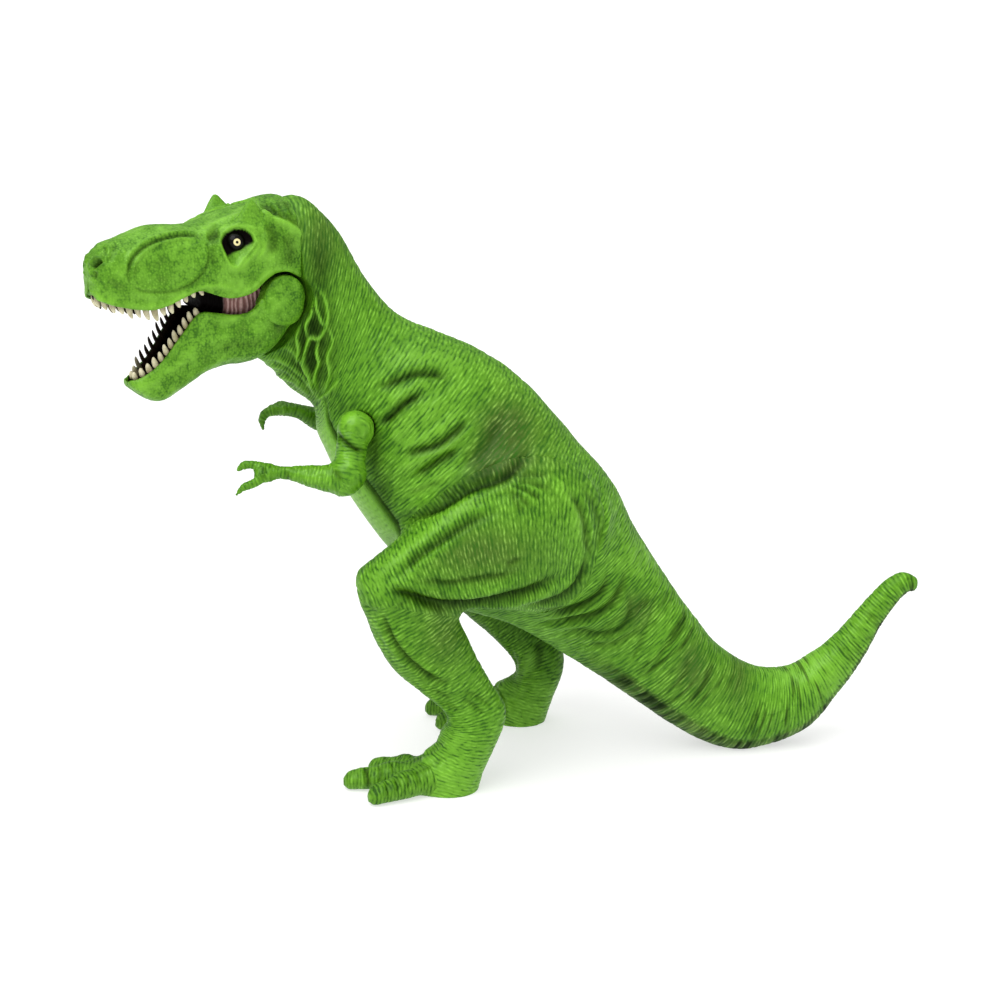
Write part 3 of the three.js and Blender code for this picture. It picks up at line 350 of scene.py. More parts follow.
def addPiece(name, shells, body, nodes, material):
    # each shell's rings become quads, with a fan at each end, and face the way that gives volume
    verts, faces, flows, count = [], [], [], 0
    values = {key: [] for key in ("relief", "crease", "tone", "paint")}
    for shell in shells:
        points = np.clip(shell["points"], boxLow, boxHigh)
        rows, sides = points.shape[:2]
        ring = np.arange(rows * sides).reshape(rows, sides)
        following = np.roll(ring, -1, axis=1)
        quads = np.stack([ring[:-1], following[:-1], following[1:], ring[1:]], axis=-1).reshape(-1, 4)
        fans = np.concatenate([
            np.stack([np.full(sides, rows * sides), following[0], ring[0]], axis=-1),
            np.stack([np.full(sides, rows * sides + 1), ring[-1], following[-1]], axis=-1),
        ])
        places = np.concatenate([points.reshape(-1, 3), points[[0, -1]].mean(axis=1)])
        a, b, c, d = np.moveaxis(places[quads], 1, 0)
        first, second, third = np.moveaxis(places[fans], 1, 0)
        volume = np.sum(a * np.cross(b - d, c)) + np.sum(first * np.cross(second, third))
        if volume < 0:
            quads, fans = quads[:, ::-1], fans[:, ::-1]
        verts.append(places)
        faces += (quads + count).tolist() + (fans + count).tolist()
        for key, parts in values.items():
            value = np.broadcast_to(np.asarray(shell.get(key, 0.0), float), (rows, sides))
            parts.append(np.concatenate([value.ravel(), value[[0, -1]].mean(axis=1)]))
        flows.append(np.concatenate([shell["flow"].reshape(-1, 3), shell["flow"][[0, -1]].mean(axis=1)]))
        count += len(places)
    mesh = bpy.data.meshes.new(name)
    mesh.from_pydata(((np.concatenate(verts) + onFrame) / 1000).tolist(), [], faces)
    for key, parts in values.items():
        attribute = mesh.attributes.new(key, "FLOAT", "POINT")
        attribute.data.foreach_set("value", np.concatenate(parts).astype(np.float32))
    attribute = mesh.attributes.new("flow", "FLOAT_VECTOR", "POINT")
    attribute.data.foreach_set("vector", np.concatenate(flows).astype(np.float32).ravel())
    mesh.shade_smooth()
    mesh.materials.append(material)
    piece = bpy.data.objects.new(name, mesh)
    bpy.context.scene.collection.objects.link(piece)
    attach(piece, body)
    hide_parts(*nodes)
    print(name, len(mesh.vertices), "vertices")


# Materials


def linear(hexColour):
    parts = [int(hexColour[i:i + 2], 16) / 255 for i in (1, 3, 5)]
    return [*(((p + 0.055) / 1.055) ** 2.4 if p > 0.04045 else p / 12.92 for p in parts), 1]


def addNode(tree, kind, inputs=None, **settings):
    node = tree.nodes.new(kind)
    for key, value in settings.items():
        setattr(node, key, value)
    for key, value in (inputs or {}).items():
        if isinstance(value, bpy.types.NodeSocket):
            tree.links.new(value, node.inputs[key])
        else:
            node.inputs[key].default_value = value
    return node


def newMaterial(name):
    material = bpy.data.materials.new(name)
    material.use_nodes = True
    tree = material.node_tree
    tree.nodes.clear()
    shader = addNode(tree, "ShaderNodeBsdfPrincipled")
    addNode(tree, "ShaderNodeOutputMaterial", {"Surface": shader.outputs[0]})
    return material, tree, shader


# cell: size in mm of the skin's bumps across, up and along the body; row: mm from one fine ridge to
# the next, and sway: how far the ridges wander, in radians of that wave; grain: the finest bumps,
# and mottle: the cloudy patches, in mm. The real bumps are finer than shows in the picture.
# Colours: bright and glow are lighter copies of base, a painted highlight for the lit places; the wash colour
# and deep are the darker ones, for wash and for painted shade; olive and sage are for the duller patches of
# the skin.
vinyl = dict(
    deep="#0b1e01", washAndShade="#2f6400", olive="#3f5616", sage="#84a24e", base="#558e12", bright="#82c237",
    glow="#92cd46", black="#060302",
    cell=(2.6, 2.6, 0.78), row=1.25, sway=3.2, grain=0.8, mottle=15, bumpHeight=0.3, bumpStrength=0.55,
    raised=0.14, calm=0.62,  # share of the relief attribute in the height, shade of the calm places
    specular=(0.25, 0.04),  # of the skin, of the black paint
    wet=(0.15, 0.6), gloss=0.14,  # tones at which the skin starts and ends getting glossier, by how much
)
# How each value is read by the next: from low, from high, to low, to high
vinylRanges = {key: dict(enumerate(limits, 1)) for key, limits in dict(
    cells=(0.15, 0.8), grains=(0.1, 0.7, 0.85, 0.2), patchy=(0.2, 0.8, -0.17, 0.17),
    calm=(0.15, 1.0, 0.0, 0.55), dull=(0.0, -1.0, 0.0, 0.85), lit=(0.0, 1.0, 0.0, 0.75),
    toBase=(0.1, 0.5), toBright=(0.5, 1.05), sunk=(0.0, 1.0, 0.1, -0.1), stainAndShade=(0.05, 1.05, 0.0),
    wet=vinyl["wet"], rough=(0.2, 0.9, 0.1, -0.05),
).items()}


def vinylSkin(name, roughness, washed, grainShare, contrast, rowShare):
    # Moulded soft PVC with a thin dark wash left in its wrinkles: satin, with rows of small bumps
    # whose tops are painted lighter, as drybrush and as a painted highlight, while the grooves between
    # them are painted dull and dark, as wash and as painted shade.
    # The bumps follow the flow attribute: mm across, mm up and mm along the limb.
    material, tree, shader = newMaterial(name)
    flow = addNode(tree, "ShaderNodeAttribute", attribute_name="flow").outputs["Vector"]
    relief, crease, tone, paint = (
        addNode(tree, "ShaderNodeAttribute", attribute_name=key).outputs["Fac"]
        for key in ("relief", "crease", "tone", "paint"))
    place = addNode(tree, "ShaderNodeTexCoord").outputs["Object"]
    dark, light = 0.5 - contrast / 2, 0.5 + contrast / 2
    perCell = tuple(1 / size for size in vinyl["cell"])
    stretched = addNode(tree, "ShaderNodeVectorMath", {0: flow, 1: perCell}, operation="MULTIPLY").outputs[0]
    ridges = addNode(tree, "ShaderNodeTexVoronoi", {
        "Vector": stretched, "Scale": 1.0, "Randomness": 0.85}).outputs["Distance"]
    ridges = addNode(tree, "ShaderNodeMapRange", {
        0: ridges, **vinylRanges["cells"], 3: light, 4: dark}).outputs[0]
    rows = addNode(tree, "ShaderNodeTexWave", {
        "Vector": flow, "Scale": 2 * math.pi / 20 / vinyl["row"],  # the wave node's unit is 20 radians
        "Distortion": vinyl["sway"], "Detail": 2.0, "Detail Scale": 1.3}, bands_direction="Z").outputs["Fac"]
    rows = addNode(tree, "ShaderNodeMapRange", {0: rows, 3: dark, 4: light}).outputs[0]
    ridges = addNode(tree, "ShaderNodeMix", {0: rowShare, 2: ridges, 3: rows}).outputs[0]
    grains = addNode(tree, "ShaderNodeTexVoronoi", {
        "Vector": place, "Scale": 1000 / vinyl["grain"], "Randomness": 0.9}).outputs["Distance"]
    grains = addNode(tree, "ShaderNodeMapRange", {0: grains, **vinylRanges["grains"]}).outputs[0]
    fine = addNode(tree, "ShaderNodeMix", {0: grainShare, 2: ridges, 3: grains}).outputs[0]
    raised = addNode(tree, "ShaderNodeMath", {0: relief, 1: vinyl["raised"]}, operation="MULTIPLY").outputs[0]
    height = addNode(tree, "ShaderNodeMath", {0: fine, 1: raised}, operation="ADD").outputs[0]
    mottle = addNode(tree, "ShaderNodeTexNoise", {
        "Vector": place, "Scale": 1000 / vinyl["mottle"], "Detail": 3.0}).outputs[0]
    patchy = addNode(tree, "ShaderNodeMapRange", {0: mottle, **vinylRanges["patchy"]}).outputs[0]
    shade = addNode(tree, "ShaderNodeMath", {0: height, 1: patchy}, operation="ADD").outputs[0]

    calm, dull, lit = (
        addNode(tree, "ShaderNodeMapRange", {0: tone, **vinylRanges[key]}).outputs[0]
        for key in ("calm", "dull", "lit"))
    shade = addNode(tree, "ShaderNodeMix", {0: calm, 2: shade, 3: vinyl["calm"]}).outputs[0]
    # wash and painted shade gather in the creases and in the lowest grooves beside them
    sunk = addNode(tree, "ShaderNodeMapRange", {0: shade, **vinylRanges["sunk"]}).outputs[0]
    sunk = addNode(tree, "ShaderNodeMath", {0: crease, 1: sunk}, operation="ADD").outputs[0]
    stainAndShade = addNode(tree, "ShaderNodeMapRange", {0: sunk, **vinylRanges["stainAndShade"], 4: washed}).outputs[0]
    # the two main greens, each with its dull and its sunlit neighbour, the sunlit one a painted
    # highlight, then all layers over the wash colour
    layers = []
    for key, green, dulled, brighter in (
            ("toBase", "base", "olive", "bright"), ("toBright", "bright", "sage", "glow")):
        colour = linear(vinyl[green])
        for share, other in ((dull, dulled), (lit, brighter)):
            colour = addNode(tree, "ShaderNodeMix", {
                0: share, 6: colour, 7: linear(vinyl[other])}, data_type="RGBA").outputs[2]
        share = addNode(tree, "ShaderNodeMapRange", {
            0: shade, **vinylRanges[key]}, interpolation_type="SMOOTHSTEP").outputs[0]
        layers.append((share, colour))
    layers += [(stainAndShade, linear(vinyl["deep"])), (paint, linear(vinyl["black"]))]
    colour = linear(vinyl["washAndShade"])
    for share, layer in layers:
        colour = addNode(tree, "ShaderNodeMix", {
            0: share, 6: colour, 7: layer}, data_type="RGBA").outputs[2]
    tree.links.new(colour, shader.inputs["Base Color"])

    wet = addNode(tree, "ShaderNodeMapRange", {
        0: tone, **vinylRanges["wet"], 3: roughness, 4: roughness - vinyl["gloss"]}).outputs[0]
    rough = addNode(tree, "ShaderNodeMapRange", {0: shade, **vinylRanges["rough"]}).outputs[0]
    rough = addNode(tree, "ShaderNodeMath", {0: wet, 1: rough}, operation="ADD").outputs[0]
    tree.links.new(rough, shader.inputs["Roughness"])
    bump = addNode(tree, "ShaderNodeBump", {
        "Height": height, "Strength": vinyl["bumpStrength"], "Distance": vinyl["bumpHeight"] / 1000})
    tree.links.new(bump.outputs[0], shader.inputs["Normal"])
    matt = addNode(tree, "ShaderNodeMath", {0: paint, 1: stainAndShade}, operation="MAXIMUM").outputs[0]
    gleam = addNode(tree, "ShaderNodeMapRange", {
        0: matt, 3: vinyl["specular"][0], 4: vinyl["specular"][1]}).outputs[0]
    tree.links.new(gleam, shader.inputs["Specular IOR Level"])
    return material


bodySkin = vinylSkin(
    "Soft PVC, moulded and washed",
    roughness=0.52, washed=0.95, grainShare=0.14, contrast=0.85, rowShare=0.45)
headVinyl = vinylSkin(
    "Soft PVC, moulded with pebbled scales",
    roughness=0.5, washed=0.95, grainShare=0.6, contrast=0.5, rowShare=0.1)
limbSkin = vinylSkin(
    "Soft PVC, moulded, glossier limbs",
    roughness=0.4, washed=0.92, grainShare=0.12, contrast=0.6, rowShare=0.4)


# How far the relief and the streaks lighten the paint, and the shine that the third colour keeps
brushed = dict(raised=0.3, lightened={1: 0.35, 2: 0.85}, blackShine=0.1)


def brushedPaint(name, colours, roughness, grain, bump, specular):
    # Acrylic paint brushed on by hand over the vinyl: faint streaks of the grain's size in mm show
    # in it. The relief attribute turns it from the first colour to the second, and the paint
    # attribute to the third, which hardly shines.
    material, tree, shader = newMaterial(name)
    place = addNode(tree, "ShaderNodeTexCoord").outputs["Object"]
    streaks = addNode(tree, "ShaderNodeTexNoise", {
        "Vector": place, "Scale": 1000 / grain, "Detail": 4.0}).outputs[0]
    relief, paint = (
        addNode(tree, "ShaderNodeAttribute", attribute_name=key).outputs["Fac"]
        for key in ("relief", "paint"))
    raised = addNode(tree, "ShaderNodeMath", {
        0: relief, 1: brushed["raised"]}, operation="MULTIPLY").outputs[0]
    light = addNode(tree, "ShaderNodeMath", {0: raised, 1: streaks}, operation="ADD").outputs[0]
    light = addNode(tree, "ShaderNodeMapRange", {0: light, **brushed["lightened"]}).outputs[0]
    colour = linear(colours[0])
    for share, other in ((light, colours[1]), (paint, colours[2])):
        colour = addNode(tree, "ShaderNodeMix", {
            0: share, 6: colour, 7: linear(other)}, data_type="RGBA").outputs[2]
    tree.links.new(colour, shader.inputs["Base Color"])
    bumpNode = addNode(tree, "ShaderNodeBump", {
        "Height": streaks, "Strength": bump, "Distance": vinyl["bumpHeight"] / 1000})
    tree.links.new(bumpNode.outputs[0], shader.inputs["Normal"])
    shader.inputs["Roughness"].default_value = roughness
    gleam = addNode(tree, "ShaderNodeMapRange", {
        0: paint, 3: specular, 4: brushed["blackShine"] * specular}).outputs[0]
    tree.links.new(gleam, shader.inputs["Specular IOR Level"])
    return material


toothPaint = brushedPaint(
    "Satin acrylic, cream teeth", ("#8d8258", "#ddd7b4", "#1a1008"),
    roughness=0.36, grain=2.2, bump=0.3, specular=0.4)
mouthPaint = brushedPaint(
    "Satin acrylic, pink mouth", ("#8d625b", "#dab2ab", "#060303"),
    roughness=0.45, grain=1.6, bump=0.5, specular=0.3)
eyePaint = brushedPaint(
    "Gloss enamel, black eye with cream iris", ("#060504", "#0a0906", "#efe4a8"),
    roughness=0.22, grain=3, bump=0.02, specular=0.12)


steel = dict(dark="#8f9294", light="#b9bcbe", scratch=0.4, roughness=(0.25, 0.4))  # scratch: in mm


def drawnSteelMaterial():
    # Steel wire drawn through a die: a grey that fine scratches make lighter and rougher in places
    material, tree, shader = newMaterial("Steel, drawn")
    place = addNode(tree, "ShaderNodeTexCoord").outputs["Object"]
    scratches = addNode(tree, "ShaderNodeTexNoise", {
        "Vector": place, "Scale": 1000 / steel["scratch"], "Detail": 2.0}).outputs[0]
    colour = addNode(tree, "ShaderNodeMix", {
        0: scratches, 6: linear(steel["dark"]), 7: linear(steel["light"])}, data_type="RGBA").outputs[2]
    tree.links.new(colour, shader.inputs["Base Color"])
    rough = addNode(tree, "ShaderNodeMapRange", {
        0: scratches, 1: 0.3, 2: 0.7, 3: steel["roughness"][0], 4: steel["roughness"][1]}).outputs[0]
    tree.links.new(rough, shader.inputs["Roughness"])
    shader.inputs["Metallic"].default_value = 1
    return material


drawnSteel = drawnSteelMaterial()

# Trunk: neck, torso and tail are one skin, cut into pieces at the tail's seam. Rows: place along,
# across and up, tilt and turn of the section in degrees, half depth, half width.
trunkRows = dict(
    neck=[
        [-0.288, -0.08, 0.876, 84, 24, 0.39, 0.4], [-0.2545, -0.02, 0.8865, 78, 20, 0.505, 0.455],
        [-0.2187, 0, 0.8395, 73, 12, 0.498, 0.475], [-0.1883, 0, 0.779, 68, 5, 0.42, 0.47],
        [-0.1685, 0, 0.721, 57, 0, 0.435, 0.53],
    ],
    torso=[
        [-0.137, 0, 0.6755, 51, 0, 0.393, 0.41], [-0.0987, 0, 0.6265, 47, 0, 0.459, 0.465],
        [-0.0553, 0, 0.559, 42, 0, 0.497, 0.5], [-0.0113, 0, 0.482, 38, 0, 0.5, 0.51],
        [0.038, 0, 0.4075, 38, 0, 0.474, 0.485], [0.0863, 0, 0.3435, 37, 0, 0.378, 0.405],
    ],
    tail=[
        [0.137, 0, 0.2715, 40, 0, 0.502, 0.5], [0.1857, 0, 0.1985, 43, 0, 0.42, 0.434],
        [0.2417, 0, 0.124, 53, 0, 0.363, 0.382], [0.304, 0, 0.0735, 71, 0, 0.348, 0.342],
        [0.3667, 0, 0.084, 94, 0, 0.283, 0.276], [0.4107, 0, 0.1385, 126, 0, 0.19, 0.205],
        [0.4403, 0, 0.191, 133, 0, 0.143, 0.16], [0.4633, 0, 0.243, 138, 0, 0.112, 0.13],
        [0.4873, 0, 0.2895, 135, 0, 0.1, 0.105], [0.504, 0, 0.307, 114, 0, 0.086, 0.09],
        [0.5165, 0, 0.304, 90, 0, 0.058, 0.06], [0.52, 0, 0.3025, 88, 0, 0.024, 0.024],
    ],
)


def sizesOf(part):
    depth, width = figure[part + "Depth"], figure[part + "Width"]
    return [figure["length"], width, figure["height"], 1, 1, depth, width]


trunkTable = np.concatenate([np.array(rows) * sizesOf(part) for part, rows in trunkRows.items()])
seamRow = len(trunkRows["neck"]) + len(trunkRows["torso"])


def trunkLoft(places):
    # the section stands across the line of the back: turned about Z, then tilted up
    x, y, z, tilt, turn, depth, width = curveThrough(trunkTable, places).T
    tilt, turn = np.radians(tilt), np.radians(turn)
    back = np.stack([np.cos(turn), np.sin(turn), 0 * turn], axis=-1)
    rise = back * column(np.cos(tilt)) + np.array([0, 0, 1]) * column(np.sin(tilt))
    across = np.stack([-back[:, 1], back[:, 0], back[:, 2]], axis=-1)
    return loftOf(np.stack([x, y, z], axis=-1), across, rise, width, depth, depth, corner=2.15, egg=0.1)


wholeTrunk = trunkLoft(evenPlaces(trunkTable, 110, slice(0, 3)))

# Legs: rows of place along, half spread, height, tilt, half depth, half width
leftLeg = dict(
    side=-1, washAndShade=0.06,
    thigh=[
        [0.098, 0.33, 0.425, 78, 0.2, 0.12], [0.075, 0.38, 0.44, 82, 0.4, 0.33],
        [0.035, 0.45, 0.452, 90, 0.51, 0.5], [-0.014, 0.49, 0.45, 98, 0.48, 0.52],
        [-0.058, 0.52, 0.43, 104, 0.385, 0.48], [-0.1, 0.545, 0.405, 110, 0.3, 0.41],
        [-0.136, 0.555, 0.387, 116, 0.215, 0.35], [-0.158, 0.555, 0.377, 118, 0.14, 0.25],
        [-0.167, 0.555, 0.373, 118, 0.06, 0.1],
    ],
    shin=[
        [-0.146, 0.545, 0.406, 196, 0.26, 0.36], [-0.138, 0.545, 0.368, 204, 0.375, 0.47],
        [-0.119, 0.545, 0.32, 208, 0.49, 0.52], [-0.096, 0.54, 0.27, 212, 0.53, 0.5],
        [-0.072, 0.53, 0.22, 212, 0.44, 0.43], [-0.05, 0.515, 0.175, 208, 0.37, 0.37],
        [-0.039, 0.495, 0.136, 192, 0.41, 0.39], [-0.049, 0.475, 0.092, 166, 0.385, 0.42],
        [-0.061, 0.46, 0.045, 160, 0.37, 0.45], [-0.071, 0.455, -0.01, 162, 0.37, 0.45],
    ],
    heel=[-0.067, 0.455], toes=[[-0.1637, 0.235], [-0.195, 0.41], [-0.167, 0.65]],
)
# The far leg's high wash darkens it all over: painted shade.
rightLeg = dict(
    side=1, washAndShade=0.5,
    thigh=[
        [0.098, 0.33, 0.425, 78, 0.2, 0.12], [0.075, 0.38, 0.44, 84, 0.4, 0.33],
        [0.035, 0.45, 0.45, 94, 0.51, 0.5], [-0.002, 0.5, 0.425, 106, 0.45, 0.52],
        [-0.033, 0.54, 0.39, 118, 0.36, 0.48], [-0.06, 0.56, 0.35, 124, 0.29, 0.41],
        [-0.078, 0.57, 0.325, 128, 0.2, 0.3], [-0.086, 0.57, 0.315, 130, 0.08, 0.12],
    ],
    shin=[
        [-0.066, 0.56, 0.36, 196, 0.29, 0.36], [-0.047, 0.56, 0.315, 216, 0.42, 0.47],
        [-0.009, 0.555, 0.262, 226, 0.43, 0.5], [0.029, 0.55, 0.2, 226, 0.38, 0.45],
        [0.056, 0.545, 0.15, 214, 0.38, 0.4], [0.064, 0.54, 0.105, 192, 0.37, 0.39],
        [0.052, 0.535, 0.06, 166, 0.36, 0.42], [0.042, 0.53, 0.02, 162, 0.37, 0.45],
        [0.038, 0.53, -0.01, 162, 0.38, 0.45],
    ],
    heel=[0.034, 0.53], toes=[[-0.0733, 0.395], [-0.0833, 0.655], [-0.045, 0.86]],
)
legSize = dict(thighDepth=50, thighWidth=31, shinDepth=26, shinWidth=21, hipHeight=0.46)
toeRows = np.array([  # reach, half height, half width, height of the middle
    [0, 0.85, 0.66, 0.85], [0.24, 0.7, 0.6, 0.72], [0.44, 0.54, 0.52, 0.56], [0.58, 0.56, 0.54, 0.56],
    [0.72, 0.46, 0.46, 0.46], [0.84, 0.43, 0.41, 0.43], [0.95, 0.36, 0.33, 0.36], [1, 0.15, 0.13, 0.3],
])


def limbLoft(leg, part, count):
    # the rows' spread goes from the feet's to the hips' by their height
    along, out, up, tilt, depth, width = np.array(leg[part]).T
    mix = np.clip(up / legSize["hipHeight"], 0, 1)
    spread = mix * figure["hipSpread"] + (1 - mix) * figure["footSpread"]
    table = np.stack([
        along * figure["length"], leg["side"] * out * spread, up * figure["height"], tilt,
        depth * legSize[part + "Depth"], width * legSize[part + "Width"]], axis=-1)
    x, y, z, tilt, depth, width = curveThrough(table, evenPlaces(table, count, slice(0, 3))).T
    tilt = np.radians(tilt)
    rise = np.stack([np.cos(tilt), 0 * tilt, np.sin(tilt)], axis=-1)
    return loftOf(np.stack([x, y, z], axis=-1), np.array([0.0, 1, 0]), rise, width, depth, depth)


def toeLoft(leg, tip, count):
    # a straight line from heel to tip on the floor, with the rows' heights over it
    sizes = [figure["length"], leg["side"] * figure["footSpread"]]
    start, stop = (np.append(np.multiply(place, sizes), 0) for place in (leg["heel"], tip))
    reach, height, width, middle = curveThrough(toeRows, evenPlaces(toeRows, count, slice(0, 2))).T
    run, up = stop - start, np.array([0.0, 0, 1])
    centre = start + column(reach) * run + up * column(middle * figure["toeHeight"])
    height, width = height * figure["toeHeight"], width * figure["toeWidth"]
    return loftOf(centre, unit(np.array([-run[1], run[0], 0])), up, width, height, height)


def legLofts(leg, thighCount, shinCount, toeCount):
    return dict(thigh=limbLoft(leg, "thigh", thighCount), shin=limbLoft(leg, "shin", shinCount),
                toes=[toeLoft(leg, tip, toeCount) for tip in leg["toes"]])


coarseLegs = {side: legLofts(leg, 50, 45, 24) for side, leg in (("left", leftLeg), ("right", rightLeg))}


# Folds of the near side, as lines in the photo's pixels: points, width and depth in mm (a ridge
# has a depth below zero), and how much wash and painted shade they hold or, on a ridge, how much
# painted highlight it gets
sharedFolds = [  # on the trunk and on the thigh
    ([(397, 523), (409, 518), (425, 513), (439, 508), (453, 500), (466, 492), (480, 486), (494, 482),
      (506, 476), (516, 468), (524, 458), (530, 449)], 1.6, 1.3, 1.0),
    ([(432, 506), (449, 497), (466, 487), (483, 478), (500, 468)], 3.0, 0.3, 0.75),
    ([(509, 490), (520, 497), (530, 507)], 0.8, 0.4, 0.6),
    ([(511, 486), (527, 491), (541, 499)], 0.8, 0.4, 0.6),
    ([(513, 482), (531, 484), (549, 489)], 0.8, 0.4, 0.55),
    ([(514, 477), (531, 475), (549, 475)], 0.8, 0.35, 0.5),
    ([(510, 494), (517, 503), (523, 514)], 0.8, 0.35, 0.5),
    ([(511, 488), (524, 494), (536, 503)], 0.9, -0.4, 0.7),
    ([(512, 484), (529, 487), (545, 494)], 0.9, -0.4, 0.7),
    ([(569, 492), (579, 508), (585, 528), (587, 544), (593, 558)], 1.1, 0.6, 0.7),
    ([(585, 488), (596, 510), (600, 530), (597, 552)], 1.3, 0.4, 0.45),
    ([(552, 474), (567, 494), (576, 514), (580, 536)], 2.2, -0.6, 0.6),
    ([(522, 605), (536, 604), (551, 600), (563, 595), (571, 589), (579, 579), (585, 565),
      (587, 551)], 1.0, 0.9, 0.85),
    ([(528, 613), (547, 611), (567, 609), (585, 603), (597, 595), (605, 585), (607, 573)], 1.0, 0.9, 0.9),
]
bodyFolds = sharedFolds + [
    ([(377, 387), (387, 385), (397, 381), (409, 376), (419, 374), (431, 374), (441, 376),
      (449, 378)], 1.2, 1.0, 0.9),
    ([(377, 425), (385, 421), (393, 415), (401, 407), (409, 401), (417, 397), (424, 392)], 1.2, 1.1, 1.0),
    ([(405, 456), (415, 452), (429, 448), (441, 443), (453, 435), (462, 427),
      (468, 422)], 1.15, 1.0, 0.95),
    ([(415, 476), (425, 470), (437, 462), (449, 455), (458, 450)], 1.1, 0.9, 0.8),
    ([(409, 494), (420, 490), (432, 486), (446, 482)], 1.0, 0.5, 0.4),
    ([(456, 466), (466, 462), (476, 456), (484, 449), (492, 437), (498, 425), (501, 412)], 2.2, 0.6, 0.5),
    ([(386, 440), (402, 430), (424, 414), (448, 398)], 3.2, -0.8, 0.45),
    ([(400, 447), (420, 440), (440, 428), (462, 408)], 2.0, -0.6, 0.6),
    ([(398, 470), (420, 460), (446, 446), (474, 426)], 2.0, -0.7, 0.75),
    ([(405, 496), (430, 484), (455, 468), (472, 454)], 2.4, -0.6, 0.6),
    ([(385, 368), (410, 360), (440, 360), (468, 370)], 3.4, -0.5, 0.5),
    ([(385, 402), (400, 396), (414, 388), (432, 384)], 2.2, -0.6, 0.55),
    ([(500, 352), (532, 378), (562, 410)], 4.0, -0.3, 0.45),
    ([(540, 622), (560, 619), (575, 617), (591, 615), (607, 607), (617, 595), (623, 583),
      (627, 567)], 1.1, 1.0, 0.8),
    ([(560, 632), (580, 630), (596, 634), (614, 632), (626, 623), (631, 609),
      (629, 594)], 1.1, 0.8, 0.65),
    ([(585, 643), (605, 645), (622, 640), (634, 630)], 1.1, 0.6, 0.5),
    ([(524, 609), (545, 607), (562, 602), (578, 594), (590, 582)], 1.0, -0.9, 0.7),
    ([(530, 617), (552, 615), (575, 612), (594, 605), (608, 592)], 1.0, -0.9, 0.7),
    ([(548, 626), (570, 624), (592, 622), (612, 614), (624, 600)], 1.0, -0.8, 0.55),
    ([(645, 628), (640, 645), (632, 660)], 0.9, 0.4, 0.35),
    ([(668, 640), (660, 658), (650, 672)], 0.9, 0.4, 0.35),
    ([(690, 655), (684, 672), (676, 690)], 0.9, 0.4, 0.35),
    ([(655, 600), (650, 618), (644, 634)], 1.0, 0.4, 0.3),
    ([(262, 359), (278, 359), (294, 368), (308, 382), (315, 393)], 0.9, -0.8, 0.6),
    ([(265, 366), (280, 367), (294, 375), (308, 390)], 0.8, -0.7, 0.5),
    ([(272, 377), (285, 377), (297, 383), (310, 395)], 0.8, -0.7, 0.5),
    ([(283, 345), (294, 352), (306, 368), (315, 388)], 0.9, -0.9, 0.6),
]
# Cords that stand out on the neck behind the jaw, with painted highlights on them and dark
# hollows between them, which bodyShadows fills with painted shade
neckCords = [
    [(314, 284), (324, 297), (328, 313), (326, 327), (319, 338), (310, 338), (306, 350), (301, 363)],
    [(310, 288), (308, 302), (312, 313), (306, 325), (308, 337)],
    [(301, 322), (297, 336), (299, 350), (297, 363)],
    [(319, 338), (317, 352), (319, 363), (315, 377), (317, 390)],
    [(327, 327), (333, 340), (328, 357), (330, 375), (324, 393)],
    [(306, 350), (304, 365), (310, 377), (314, 390)],
    [(315, 295), (317, 309), (322, 322), (327, 327)], [(318, 400), (330, 392), (340, 380)],
]
bodyFolds += [(cord, 0.62, -1.3, 1.0) for cord in neckCords]
legFolds = sharedFolds + [
    ([(401, 579), (409, 567), (419, 557), (433, 547), (449, 536), (464, 526), (480, 518),
      (498, 512)], 1.2, 1.1, 0.7),
    ([(374, 574), (395, 561), (419, 543), (448, 520), (472, 504), (492, 496)], 3.2, -1.2, 1.0),
    ([(392, 584), (410, 572), (424, 560), (440, 550), (466, 535)], 1.8, -0.6, 0.85),
    ([(440, 592), (470, 592), (500, 587), (520, 580)], 2.0, -0.5, 0.4),
    ([(415, 583), (433, 582), (449, 583), (468, 580), (488, 577), (504, 575), (520, 569)], 1.1, 0.9, 0.7),
    ([(506, 566), (514, 561), (521, 558)], 0.8, 0.6, 0.6),
    ([(389, 592), (399, 592), (413, 596), (429, 601), (449, 604), (468, 604), (488, 601), (508, 596),
      (524, 592), (538, 586), (550, 580), (560, 575)], 1.4, 1.7, 1.0),
    ([(500, 604), (520, 600), (540, 594), (560, 585), (574, 574)], 1.6, -0.8, 0.5),
    ([(382, 614), (387, 627), (395, 642), (406, 656), (420, 669), (435, 679),
      (450, 684)], 1.0, 1.1, 0.85),
    ([(390, 618), (398, 640), (410, 656), (425, 667), (440, 676)], 1.0, -0.6, 0.5),
    ([(389, 593), (406, 594), (422, 602), (437, 607), (449, 613)], 1.6, 1.0, 0.9),
    ([(398, 606), (408, 602), (418, 604)], 0.8, 0.5, 0.45),
    ([(464, 692), (478, 697), (492, 706)], 0.8, 0.5, 0.4),
    ([(462, 698), (474, 706), (486, 716)], 0.8, 0.5, 0.4),
    ([(430, 690), (441, 694), (452, 700)], 0.8, 0.4, 0.4),
    ([(440, 703), (450, 706), (460, 712)], 0.8, 0.4, 0.35),
]
